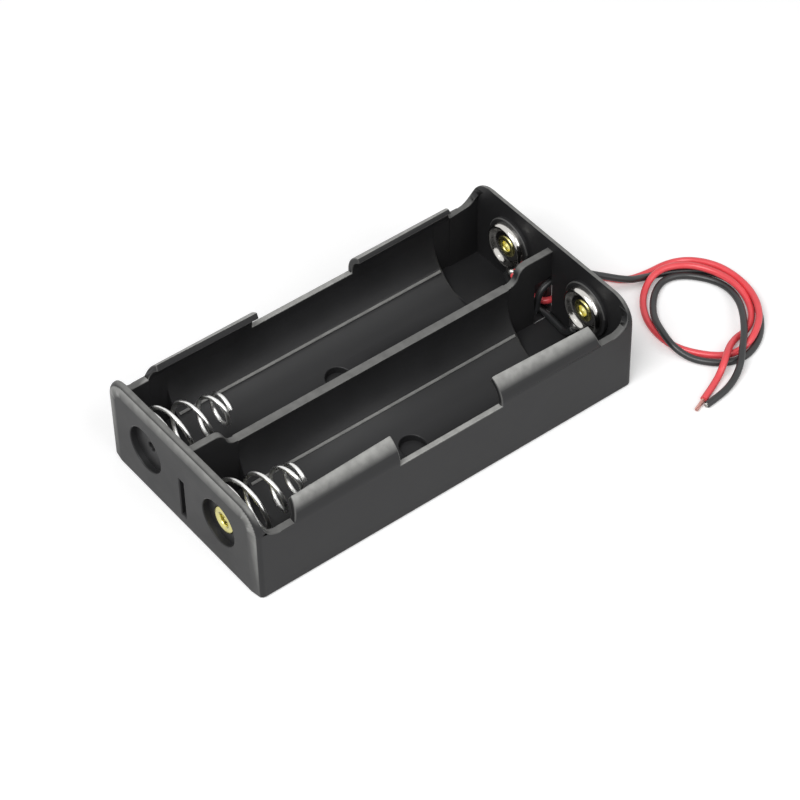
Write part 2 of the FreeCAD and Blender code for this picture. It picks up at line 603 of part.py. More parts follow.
def spring_point(turn, reach=1.0):
    """Middle of the wire after some turns, with the spring's axis on X and its base at zero."""
    closed = size("closed_turns")
    rise = size("closed_pitch")
    active = size("spring_turns") - 2 * closed
    pitch = (size("spring_length") - size("spring_wire") - 2 * closed * rise) / active
    base = min(turn, closed)
    span = min(max(turn - closed, 0.0), active)
    tip = max(turn - closed - active, 0.0)
    along = rise * base ** 2 / closed + pitch * span + rise * tip
    radius = size("spring_base") + (size("spring_tip") - size("spring_base")) * span / active
    angle = 2 * math.pi * turn + math.radians(size("spring_start"))
    radius = radius * reach
    return FreeCAD.Vector(along, radius * math.cos(angle), radius * math.sin(angle))


def spring(side, word):
    """Wire in short mitred lengths, each of which touches the helix at its middle."""
    per_turn = 12
    turns = size("spring_turns")
    reach = 1 / math.cos(math.pi / per_turn)
    corners = [spring_point((i + 0.5) / per_turn, reach) for i in range(int(turns * per_turn))]
    points = [spring_point(0)] + corners + [spring_point(turns)]
    path = Part.makePolygon(points)
    section = Part.Wire([Part.makeCircle(size("spring_wire / 2"), points[0], points[1] - points[0])])
    part = keep(doc.addObject("Part::Feature", f"spring_{word}"), f"spring_{word}")
    part.Shape = path.makePipeShell([section], True, False, MITRED)
    seat = size(f"-{PLATE_FACE} + Sizes.running_gap + Sizes.spring_wire / 2")
    part.Placement.Base = FreeCAD.Vector(seat, size(signed(side, BAY_Y)), size("spring_height"))
    return part


for side, word in ((LEFT, "left"), (RIGHT, "right")):
    spring(side, word)


# Leads inside the case

def tube(name, route, diameter, largest=None):
    """Round wire along a route, checked against its section times its length."""
    points = [FreeCAD.Vector(*p) for p in route]
    path, radii = rounded_path(points, largest)
    section = Part.Wire([Part.makeCircle(diameter / 2, points[0], points[1] - points[0])])
    part = keep(doc.addObject("Part::Feature", name), name)
    part.Shape = path.makePipeShell([section], True, False)
    expected = math.pi * diameter ** 2 / 4 * path.Length
    if abs(part.Shape.Volume / expected - 1) > 0.01:
        raise RuntimeError(f"{name} holds {part.Shape.Volume:.2f} and not {expected:.2f}")
    print(f"{name}: {path.Length:.1f} mm long, radii {[round(r, 1) for r in radii]}")
    return part


lead = size("lead_diameter")
leave = size(HALF_LENGTH)
inside = size(PLATE_FACE) - lead / 2
tab_y = size(f"{BAY_Y} - Sizes.plate_tab_shift")
tab_foot = size("plate_tab_foot")
floor = size("well_floor") + lead / 2
red_z = size("red_exit")
black_z = size("black_exit")
channel_z = size("channel_depth") - lead / 2 - 0.05
riser = size(WINDOW_START) + lead / 2 + 0.5
wire_gap = lead + 0.15

# Wires that the case holds, from their solder joints to the slot.
tube("lead_red_inner", [
    (inside, tab_y - 1.1, tab_foot + 1.8),
    (inside, tab_y - wire_gap, red_z),
    (inside + 0.2, 3.2, red_z - 0.1),
    (inside + 1.0, 0.0, red_z),
    (leave, 0.0, red_z),
], lead, size("held_bend"))
tube("positive_link", [
    (inside, -tab_y, tab_foot + 1.0),
    (inside, -tab_y + wire_gap, floor),
    (inside + 0.55, -3.0, floor + 0.05),
    (inside + 0.55, 3.0, floor + 0.05),
    (inside, tab_y, floor),
    (inside, tab_y + wire_gap / 2, tab_foot + 1.0),
], lead, size("held_bend"))
tube("lead_black_inner", [
    (-inside, 0.0, size("strip_tab") + 0.6),
    (-inside, 0.0, channel_z),
    (riser, 0.0, channel_z),
    (riser, 0.0, black_z),
    (leave, 0.0, black_z),
], lead, size("held_bend"))


def solder(name, end, y, z):
    """Cone-shaped solder joint that stands on the front of a tab."""
    joint = keep(doc.addObject("Part::Cone", name), name)
    joint.setExpression("Radius1", "Sizes.solder_radius")
    joint.setExpression("Radius2", "Sizes.solder_radius / 2")
    joint.setExpression("Height", "Sizes.solder_radius")
    towards_cell = FreeCAD.Rotation(FreeCAD.Vector(0, 0, 1), FreeCAD.Vector(-end, 0, 0))
    joint.Placement = FreeCAD.Placement(FreeCAD.Vector(end * size(PLATE_FACE), y, z), towards_cell)
    return joint


solder("solder_left", PLATE_END, tab_y, tab_foot + 1.5)
solder("solder_right", PLATE_END, -tab_y, tab_foot + 1.5)
solder("solder_black", SPRING_END, 0.0, size("strip_tab") + 1.4)


# Free stretch of each lead: from the slot to its coil, the coil, and the tail

def coil(name, colour, foot):
    """Outer shape of one lead's loose turns: a flat oval ring with its edges cut back."""
    body = new_body(name)
    sketch = new_sketch(body, f"{name}_ring", "XY_Plane", ("0", "0", foot))
    x = f"({HALF_LENGTH} + Sizes.{colour}_coil_out)"
    y = f"Sizes.{colour}_coil_y"
    straight = f"(Sizes.{colour}_coil_long - Sizes.{colour}_coil_short)"
    for turn in (1, -1):
        bend = f"(Sizes.{colour}_coil_short + {turn} * Sizes.coil_band / 2)"
        corners = [(f"{x} + {bend}", f"{y} - {straight}"), (f"{x} + {bend}", f"{y} + {straight}")]
        corners += [(x, f"{y} + {straight} + {bend}"), (f"{x} - {bend}", f"{y} + {straight}")]
        corners += [(f"{x} - {bend}", f"{y} - {straight}"), (x, f"{y} - {straight} - {bend}")]
        outline(sketch, corners, {i: (bend, 1) for i in (1, 2, 4, 5)})
    ring = feature(body, "Pad", sketch, "Sizes.coil_rise")
    bevel = body.newObject("PartDesign::Chamfer", f"{name}_bevel")
    bevel.Base = (ring, edges_where(ring.Shape, lambda b: b.ZLength < 1e-6))
    bevel.setExpression("Size", "Sizes.coil_rise * 0.3")
    doc.recompute()
    return body


coil("lead_black_coil", "black", "0")
coil("lead_red_coil", "red", "Sizes.coil_rise + Sizes.coil_gap")

ground = lead / 2 + 0.02
upper = size("coil_rise * 1.5 + coil_gap")
black_x, black_y = leave + size("black_coil_out"), size("black_coil_y")
red_x, red_y = leave + size("red_coil_out"), size("red_coil_y")
tube("lead_black", [
    (leave, 0.0, black_z),
    (leave + 4.1, -0.3, black_z - 0.5),
    (leave + 8.1, -1.0, black_z * 0.6),
    (leave + 11.9, -1.7, 1.6),
    (leave + 15.9, -2.6, ground),
    (leave + 19.7, -4.4, ground),
], lead)
tube("lead_red", [
    (leave, 0.0, red_z),
    (leave + 3.7, -0.6, red_z - 0.2),
    (leave + 7.3, -2.6, upper + 0.5),
    (leave + 10.1, -5.6, upper),
    (leave + 12.1, -8.6, upper),
], lead)
black_tail_end = (black_x - 12.0, black_y - 16.2, ground)
tube("lead_black_tail", [
    (black_x + 1.8, black_y - 11.0, ground),
    (black_x - 1.2, black_y - 12.6, ground),
    (black_x - 4.4, black_y - 14.5, ground),
    (black_x - 8.0, black_y - 15.8, ground),
    black_tail_end,
], lead)
red_tail_end = (red_x - 16.1, red_y - 16.2, ground)
tube("lead_red_tail", [
    (red_x - 2.9, red_y - 12.1, upper),
    (red_x - 6.1, red_y - 12.9, 1.5),
    (red_x - 9.6, red_y - 14.3, ground),
    (red_x - 13.1, red_y - 15.5, ground),
    red_tail_end,
], lead)


def strands(name, tail_end, heading):
    """Bare tinned strands at the end of a lead, in line with it."""
    direction = FreeCAD.Vector(*heading).normalize()
    bundle = keep(doc.addObject("Part::Cylinder", name), name)
    bundle.setExpression("Radius", "Sizes.strand_bundle / 2")
    bundle.setExpression("Height", "Sizes.strand_length")
    bundle.Placement = FreeCAD.Placement(
        FreeCAD.Vector(*tail_end), FreeCAD.Rotation(FreeCAD.Vector(0, 0, 1), direction))
    return bundle


strands("red_strands", red_tail_end, (-3.0, -0.7, 0.0))
strands("black_strands", black_tail_end, (-4.0, -0.4, 0.0))

doc.recompute()

# Check and export

for obj in doc.Objects:
    if "Invalid" in obj.State or "Error" in obj.State:
        raise RuntimeError(f"{obj.Name} failed: {obj.State}")
os.makedirs("parts", exist_ok=True)
for part in parts:
    shape = part.Shape
    if shape.isNull() or not shape.isValid() or not shape.Solids:
        raise RuntimeError(f"{part.Label} has no valid solid")
    shape.exportStep(f"parts/{part.Label}.step")
    box = shape.BoundBox
    print(f"{part.Label}: {len(shape.Solids)} solid, volume {shape.Volume:.2f}, "
          f"X {box.XMin:.2f} to {box.XMax:.2f}, Y {box.YMin:.2f} to {box.YMax:.2f}, "
          f"Z {box.ZMin:.2f} to {box.ZMax:.2f}")
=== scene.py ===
"""Looks of an open holder for two cylindrical cells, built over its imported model.

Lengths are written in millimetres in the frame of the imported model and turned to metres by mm().
+X runs along the bays from the sprung end to the plate end, +Z is up, left is +Y.
"""

from __future__ import annotations

import json
import logging
import math
import random
from dataclasses import dataclass
from enum import Enum

import bmesh
import bpy
from bmesh.types import BMEdge, BMesh
from bpy.types import ID, GeometryNodeTree, Material, Mesh, MeshPolygon, Node, NodeSocket, NodeTree, Object
from mathutils import Matrix, Vector

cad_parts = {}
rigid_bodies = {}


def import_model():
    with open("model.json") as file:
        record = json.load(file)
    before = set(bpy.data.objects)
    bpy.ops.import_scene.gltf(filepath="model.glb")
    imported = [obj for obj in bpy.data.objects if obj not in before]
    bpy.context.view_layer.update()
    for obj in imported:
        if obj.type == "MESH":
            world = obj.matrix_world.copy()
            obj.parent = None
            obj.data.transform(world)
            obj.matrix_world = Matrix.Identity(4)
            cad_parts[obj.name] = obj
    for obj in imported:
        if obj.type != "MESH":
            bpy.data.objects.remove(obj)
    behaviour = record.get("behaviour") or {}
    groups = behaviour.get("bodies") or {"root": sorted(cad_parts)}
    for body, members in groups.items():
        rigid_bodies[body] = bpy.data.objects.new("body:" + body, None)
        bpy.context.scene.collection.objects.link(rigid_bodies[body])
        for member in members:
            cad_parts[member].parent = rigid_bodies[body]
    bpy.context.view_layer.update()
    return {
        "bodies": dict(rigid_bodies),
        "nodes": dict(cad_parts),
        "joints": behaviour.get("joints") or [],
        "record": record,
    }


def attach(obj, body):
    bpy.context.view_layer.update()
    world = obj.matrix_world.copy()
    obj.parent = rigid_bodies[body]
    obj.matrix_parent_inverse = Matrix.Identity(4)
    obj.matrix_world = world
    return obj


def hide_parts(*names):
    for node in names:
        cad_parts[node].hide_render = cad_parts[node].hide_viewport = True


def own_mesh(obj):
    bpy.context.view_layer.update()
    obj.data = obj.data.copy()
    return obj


LOG = logging.getLogger("cell_holder")
# Mesh attribute that holds the case's painted highlight: light grey standing for the sheen of light on its
# tops, lips, rims and edges.
PAINTED_HIGHLIGHT = "rubbed_edges"
MM = 0.001
METRE = 1000
MERGE_DISTANCE = 2e-6
POLE_DISTANCE = 1e-7
FLAT_DEGREES = 0.6
SHARP_DEGREES = 40
Point = tuple[float, float, float]


@dataclass(frozen=True)
class Layout:
    """Sizes and places of the holder that several pieces share, in millimetres."""

    half_length: float = 37.5
    half_width: float = 20.0
    height: float = 18.0
    lip_from: float = 9.9
    lip_to: float = 30.35
    bay_y: float = 9.8
    seat_x: float = 35.2
    spring_z: float = 9.0
    contact_z: float = 10.2
    tab_y: float = 8.2
    tab_joint_z: float = 5.7
    strip_joint_z: float = 5.0


LAYOUT = Layout()


class Bay(Enum):
    """The two bays, with the sign of Y on their side."""

    LEFT = 1
    RIGHT = -1

    @property
    def word(self) -> str:
        """Name of the bay as the model's nodes have it."""
        return self.name.lower()


# Small helpers


def mm(*values: float) -> Vector:
    """Turn a point in millimetres to metres."""
    return Vector(values) * MM


def linear(code: str) -> tuple[float, float, float, float]:
    """Turn an sRGB hex colour to the linear colour that shaders take.

    Args:
        code: colour written as six hex digits, such as "1b1b1c".

    Returns:
        Red, green, blue and alpha, each from 0 to 1.
    """
    shares = [int(code[i : i + 2], 16) / 255 for i in (0, 2, 4)]
    red, green, blue = (c / 12.92 if c <= 0.04045 else ((c + 0.055) / 1.055) ** 2.4 for c in shares)
    return red, green, blue, 1.0


def add_node(
    tree: NodeTree,
    kind: str,
    settings: dict[str, object] | None = None,
    inputs: dict[str | int, object] | None = None,
) -> Node:
    """Add a node, give it its settings, and fill or link its inputs.

    Args:
        tree: the shader or geometry tree.
        kind: Blender's name of the node type.
        settings: attributes of the node, such as its operation.
        inputs: by input name or index, a value or the output socket that feeds it.

    Returns:
        The new node.
    """
    node = tree.nodes.new(kind)
    for name, value in (settings or {}).items():
        setattr(node, name, value)
    for key, value in (inputs or {}).items():
        socket = node.inputs[key]
        if isinstance(value, NodeSocket):
            tree.links.new(value, socket)
        else:
            socket.default_value = value
    return node


def object_of(name: str, data: ID) -> Object:
    """Put a mesh, curve, lamp or camera into the scene.

    Args:
        name: name of the object.
        data: what it carries.

    Returns:
        The new object, at the origin.
    """
    made = bpy.data.objects.new(name, data)
    bpy.context.scene.collection.objects.link(made)
    return made


def applied(made: Object) -> Object:
    """Turn an object with modifiers, or a curve, into a plain mesh of the same name.

    Args:
        made: the object, which is removed.

    Returns:
        A new object that carries the evaluated mesh.
    """
    name = made.name
    graph = bpy.context.evaluated_depsgraph_get()
    mesh = bpy.data.meshes.new_from_object(made.evaluated_get(graph), depsgraph=graph)
    bpy.data.objects.remove(made)
    plain = object_of(name, mesh)
    plain.name = name
    mesh.name = name
    return plain


def grown(name: str, tree: GeometryNodeTree, sizes: dict[str, float]) -> Object:
    """Grow a plain mesh with a geometry tree.

    Args:
        name: name of the object.
        tree: the tree that makes the mesh.
        sizes: value of each of the tree's inputs, by its name.

    Returns:
        The object that carries the mesh.
    """
    made = object_of(name, bpy.data.meshes.new("seed"))
    growth = made.modifiers.new("growth", "NODES")
    growth.node_group = tree
    for item in tree.interface.items_tree:
        if item.in_out == "INPUT":
            growth[item.identifier] = sizes[item.name]
    return applied(made)


def packed_copy(frame: dict, node: str) -> tuple[Mesh, BMesh]:
    """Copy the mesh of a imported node, merge its corners and make its flat faces whole.

    Args:
        node: name of the node.

    Returns:
        The mesh to fill, and its shape to work on.
    """
    mesh = frame["nodes"][node].data.copy()
    mesh.materials.clear()
    shape = bmesh.new()
    shape.from_mesh(mesh)
    bmesh.ops.remove_doubles(shape, verts=shape.verts, dist=MERGE_DISTANCE)
    bmesh.ops.dissolve_limit(
        shape, angle_limit=math.radians(FLAT_DEGREES), verts=shape.verts, edges=shape.edges
    )
    return mesh, shape


def smooth(mesh: Mesh, sharp_degrees: float = SHARP_DEGREES) -> None:
    """Shade a mesh smooth, and keep the edges that turn by more than an angle sharp."""
    mesh.polygons.foreach_set("use_smooth", [True] * len(mesh.polygons))
    mesh.set_sharp_from_angle(angle=math.radians(sharp_degrees))


def shaped(name: str, shape: BMesh) -> Object:
    """Turn a finished shape into an object with smooth faces.

    Args:
        name: name of the object.
        shape: the shape, which is freed.

    Returns:
        The new object.
    """
    mesh = bpy.data.meshes.new(name)
    shape.to_mesh(mesh)
    shape.free()
    smooth(mesh)
    return object_of(name, mesh)


def arc_points(
    centre: tuple[float, float], radius: float, start: float, end: float, steps: int
) -> list[tuple[float, float]]:
    """Points along an arc in a plane, with its angles in degrees.

    Args:
        centre: middle of the arc.
        radius: radius of the arc.
        start: angle of the first point.
        end: angle of the last point.
        steps: number of points.

    Returns:
        The points, first to last.
    """
    angles = [math.radians(start + (end - start) * i / (steps - 1)) for i in range(steps)]
    return [(centre[0] + radius * math.cos(a), centre[1] + radius * math.sin(a)) for a in angles]


def lathe(name: str, profile: list[tuple[float, float]], centre: Vector, sides: int) -> Object:
    """Turn a closed profile about a line along X.

    Args:
        name: name of the new object.
        profile: corners as (X, radius) in millimetres, in order round the section.
        centre: a point on the axis in millimetres; its X is added to the profile's.
        sides: number of faces round the axis.

    Returns:
        The turned object, with its faces pointing outwards.
    """
    shape = bmesh.new()
    rings = []
    for along, radius in profile:
        ring = []
        for i in range(sides):
            angle = 2 * math.pi * i / sides
            offset = Vector((along, radius * math.cos(angle), radius * math.sin(angle)))
            ring.append(shape.verts.new(mm(*(centre + offset))))
        rings.append(ring)
    for first, second in zip(rings, rings[1:] + rings[:1]):
        for i in range(sides):
            j = (i + 1) % sides
            shape.faces.new((first[i], first[j], second[j], second[i]))
    bmesh.ops.remove_doubles(shape, verts=shape.verts, dist=POLE_DISTANCE)
    bmesh.ops.recalc_face_normals(shape, faces=shape.faces)
    return shaped(name, shape)


def rounded_block(name: str, low: Vector, high: Vector, edge: float) -> Object:
    """Make a block with rounded edges.

    Args:
        name: name of the new object.
        low: its lowest corner in millimetres.
        high: its highest corner in millimetres.
        edge: radius of its edges in millimetres.

    Returns:
        The block.
    """
    shape = bmesh.new()
    bmesh.ops.create_cube(shape, size=1.0)
    middle, size = (low + high) / 2, high - low
    for vert in shape.verts:
        vert.co = mm(*(middle + Vector(a * b for a, b in zip(vert.co, size))))
    bmesh.ops.bevel(shape, geom=shape.edges[:], offset=edge * MM, segments=3, affect="EDGES")
    return shaped(name, shape)


def joined(name: str, pieces: list[Object]) -> Object:
    """Merge mesh objects into one.

    Args:
        name: name of the merged object.
        pieces: the objects, which are removed.

    Returns:
        The merged object.
    """
    shape = bmesh.new()
    for piece in pieces:
        shape.from_mesh(piece.data)
        bpy.data.objects.remove(piece)
    return shaped(name, shape)


# Finishes


class Finish:
    """A material made once and shared by the pieces that have it."""

    title: str

    def start(self) -> tuple[Material, NodeTree, NodeSocket]:
        """Make the empty material.

        Returns:
            The material, its tree and the object coordinates that its patterns read.
        """
        material = bpy.data.materials.new(self.title)
        material.use_nodes = True
        tree = material.node_tree
        tree.nodes.clear()
        return material, tree, add_node(tree, "ShaderNodeTexCoord").outputs["Object"]

    def close(self, tree: NodeTree, inputs: dict[str, object]) -> None:
        """Add the shader, with what feeds its inputs, and the output."""
        shader = add_node(tree, "ShaderNodeBsdfPrincipled", inputs=inputs)
        add_node(tree, "ShaderNodeOutputMaterial", inputs={"Surface": shader.outputs[0]})


@dataclass(frozen=True)
class MouldedAbs(Finish):
    """Injection-moulded black ABS.

    A polished mould gives it a satin face with a faint cloudiness, and flow in the mould
    leaves soft bands in its gloss. Its tops, lips and edges carry a painted highlight, a light grey that
    stands for the sheen of light on them.
    Its grain is drawn coarser than the real one, which is too fine to show.
    """

    title: str = "moulded_black_abs"
    colour: str = "1e1e1f"
    cloud_colour: str = "282829"
    # Colour of the painted highlight on the tops, lips and edges.
    rubbed_colour: str = "a2a29f"
    roughness: float = 0.43
    specular: float = 0.33
    cloud_mm: float = 9.0
    # Size of the noise patches that make the painted highlight uneven.
    scuff_mm: float = 1.4
    grain_mm: float = 0.35
    grain_depth: float = 0.00003

    def build(self) -> Material:
        """Make the material.

        Returns:
            The finished material.
        """
        material, tree, place = self.start()
        noises = {}
        for name, size, detail in (
            ("cloud", self.cloud_mm, 4.0),
            ("scuff", self.scuff_mm, 4.0),
            ("grain", self.grain_mm, 2.0),
        ):
            feeds = {"Vector": place, "Scale": METRE / size, "Detail": detail}
            noises[name] = add_node(tree, "ShaderNodeTexNoise", inputs=feeds).outputs["Fac"]
        tint = add_node(
            tree,
            "ShaderNodeMix",
            {"data_type": "RGBA"},
            {0: noises["cloud"], 6: linear(self.colour), 7: linear(self.cloud_colour)},
        )
        # Painted highlight: the attribute, made patchy by noise, lightens the colour towards light grey.
        rub = add_node(tree, "ShaderNodeAttribute", {"attribute_name": PAINTED_HIGHLIGHT})
        uneven = add_node(
            tree,
            "ShaderNodeMapRange",
            inputs={"Value": noises["scuff"], "From Min": 0.3, "From Max": 0.65, "To Min": 0.72},
        )
        patchy = add_node(
            tree,
            "ShaderNodeMath",
            {"operation": "MULTIPLY"},
            {0: rub.outputs["Fac"], 1: uneven.outputs[0]},
        )
        highlighted = add_node(
            tree,
            "ShaderNodeMix",
            {"data_type": "RGBA"},
            {0: patchy.outputs[0], 6: tint.outputs[2], 7: linear(self.rubbed_colour)},
        )
        gloss = add_node(
            tree,
            "ShaderNodeMapRange",
            inputs={
                "Value": noises["cloud"],
                "From Min": 0.3,
                "From Max": 0.7,
                "To Min": self.roughness - 0.05,
                "To Max": self.roughness + 0.06,
            },
        )
        bump = add_node(
            tree,
            "ShaderNodeBump",
            inputs={"Height": noises["grain"], "Strength": 0.12, "Distance": self.grain_depth},
        )
        inputs = {
            "Base Color": highlighted.outputs[2],
            "Roughness": gloss.outputs[0],
            "Normal": bump.outputs[0],
            "IOR": 1.5,
            "Specular IOR Level": self.specular,
        }
        self.close(tree, inputs)
        return material


@dataclass(frozen=True)
class PlatedMetal(Finish):
    """Sheet or wire with a thin metal plating.

    Rolling or drawing leaves fine lines under the plating, which spread the reflections
    slightly and are drawn coarser than the real ones. Handling leaves faint dull patches.
    """

    title: str
    colour: str
    dull_colour: str
    roughness: float
    line_depth: float = 0.05
    patch_mm: float = 1.6
    line_mm: float = 0.12
    line_stretch: float = 0.12

    def build(self) -> Material:
        """Make the material.

        Returns:
            The finished material.
        """
        material, tree, place = self.start()
        patch = add_node(
            tree,
            "ShaderNodeTexNoise",
            inputs={"Vector": place, "Scale": METRE / self.patch_mm, "Detail": 3.0},
        )
        stretch = add_node(
            tree,
            "ShaderNodeMapping",
            inputs={"Vector": place, "Scale": (1.0, 1.0, self.line_stretch)},
        )
        lines = add_node(
            tree,
            "ShaderNodeTexNoise",
            inputs={"Vector": stretch.outputs[0], "Scale": METRE / self.line_mm, "Detail": 2.0},
        )
        tint = add_node(
            tree,
            "ShaderNodeMix",
            {"data_type": "RGBA"},
            {0: patch.outputs["Fac"], 6: linear(self.colour), 7: linear(self.dull_colour)},
        )
        gloss = add_node(
            tree,
            "ShaderNodeMapRange",
            inputs={
                "Value": patch.outputs["Fac"],
                "From Min": 0.3,
                "From Max": 0.7,
                "To Min": self.roughness,
                "To Max": self.roughness + 0.12,
            },
        )
        height = {"Height": lines.outputs["Fac"], "Strength": self.line_depth, "Distance": 0.00001}
        bump = add_node(tree, "ShaderNodeBump", inputs=height)
        inputs = {
            "Base Color": tint.outputs[2],
            "Roughness": gloss.outputs[0],
            "Normal": bump.outputs[0],
            "Metallic": 1.0,
        }
        self.close(tree, inputs)
        return material


@dataclass(frozen=True)
class PvcSleeve(Finish):
    """Extruded soft PVC sleeve of a hook-up lead.

    The die leaves it smooth and slightly waxy, with faint clouds in the colour.
    """

    title: str
    colour: str
    cloud_colour: str
    roughness: float
    cloud_mm: float = 2.5

    def build(self) -> Material:
        """Make the material.

        Returns:
            The finished material.
        """
        material, tree, place = self.start()
        cloud = add_node(
            tree,
            "ShaderNodeTexNoise",
            inputs={"Vector": place, "Scale": METRE / self.cloud_mm, "Detail": 3.0},
        )
        tint = add_node(
            tree,
            "ShaderNodeMix",
            {"data_type": "RGBA"},
            {0: cloud.outputs["Fac"], 6: linear(self.colour), 7: linear(self.cloud_colour)},
        )
        bump = add_node(
            tree,
            "ShaderNodeBump",
            inputs={"Height": cloud.outputs["Fac"], "Strength": 0.1, "Distance": 0.00005},
        )
        inputs = {
            "Base Color": tint.outputs[2],
            "Normal": bump.outputs[0],
            "Roughness": self.roughness,
            "IOR": 1.53,
        }
        self.close(tree, inputs)
        return material


@dataclass(frozen=True)
class Finishes:
    """Every material of the holder, made once."""

    case: Material
    wire: Material
    nickel: Material
    brass: Material
    red: Material
    black: Material
    tin: Material
    copper: Material

    @classmethod
    def make(cls) -> Finishes:
        """Build all the materials.

        Returns:
            The finished materials.
        """
        return cls(
            case=MouldedAbs().build(),
            wire=PlatedMetal("nickel_plated_spring_wire", "f4f4f2", "e2e2e0", 0.24).build(),
            nickel=PlatedMetal("nickel_plated_strip", "dcdad6", "c6c3be", 0.07, 0.02).build(),
            brass=PlatedMetal("rolled_brass", "efe9a6", "d6cc78", 0.16).build(),
            red=PvcSleeve("red_pvc_sleeve", "e63f47", "f05a60", 0.3).build(),
            black=PvcSleeve("black_pvc_sleeve", "202122", "2c2d2e", 0.36).build(),
            tin=PlatedMetal("tin_solder", "d8d6d2", "b9b7b3", 0.3).build(),
            copper=PlatedMetal("tinned_copper_strand", "e6b4ac", "cf9a90", 0.3).build(),
        )


# Pieces


@dataclass(frozen=True)
class CaseWear:
    """How strong the painted highlight on the case is: light grey that stands for the sheen of light on
    its tops, lips, rims and ledges.

    The first values are shares, from 0 with no painted highlight to 1. The others tell where each one
    holds.
    """

    edge: float = 0.22
    rim: float = 0.85
    rim_foot: float = 0.15
    end_top: float = 0.5
    divider_top: float = 0.42
    wall_top: float = 0.34
    lip: float = 1.0
    ledge: float = 0.6
    rim_depth: float = 0.5
    rim_tilt: float = 0.15
    end_facing: float = 0.9
    end_z: float = 17.3
    end_depth: float = 2.0
    wall_z: float = 11.5
    side_depth: float = 1.0
    divider_y: float = 1.2
    shoulder_y: float = 14.5
    ledge_z: float = 10.75
    ledge_reach: float = 9.06
    ledge_end: float = 27.0
    upward_from: float = 0.48
    upward_span: float = 0.36

    def at(self, place: Vector, facing: Vector) -> float:
        """Tell how strong the painted highlight is at a point of its surface.

        Args:
            place: the point, in metres.
            facing: the surface's normal there.

        Returns:
            0 where no highlight is painted, up to 1 on the lips' shoulders.
        """
        along, across, up = abs(place.x) * METRE, abs(place.y) * METRE, place.z * METRE
        # Painted highlight: stronger on faces turned up, towards the light from above.
        upward = min(max((facing.z - self.upward_from) / self.upward_span, 0.0), 1.0)
        # On the end faces' rims the painted highlight grows towards the top.
        if along > LAYOUT.half_length - self.rim_depth and abs(facing.x) > self.end_facing:
            tilt = min(math.hypot(facing.y, facing.z) / self.rim_tilt, 1.0)
            height = max(up, 0.0) / LAYOUT.height
            return self.rim * tilt * (self.rim_foot + (1 - self.rim_foot) * height)
        if up > self.end_z and along > LAYOUT.half_length - self.end_depth:
            return self.end_top * upward
        if up > self.wall_z and across < self.divider_y:
            return self.divider_top * upward
        if up > self.wall_z and across > self.shoulder_y:
            on_lip = LAYOUT.lip_from < along < LAYOUT.lip_to
            return (self.lip if on_lip else self.wall_top) * upward
        # A thin painted highlight line runs along each ledge in the bays.
        reach = math.hypot(across - LAYOUT.bay_y, up - self.ledge_z)
        on_ledge = reach < self.ledge_reach and along < self.ledge_end and up < self.ledge_z
        return self.ledge if on_ledge else 0.0

    def least(self, face: MeshPolygon) -> float:
        """Tell how strong the painted highlight on a face is at least.

        Args:
            face: a face of the case, with the second material where it is part of a mould radius.

        Returns:
            The edges' share on a mould radius high up or near the outside, and otherwise 0.
        """
        high = face.center.z * METRE > self.wall_z
        outside = abs(face.center.y) * METRE > LAYOUT.half_width - self.side_depth
        return self.edge * face.material_index * (high or outside)


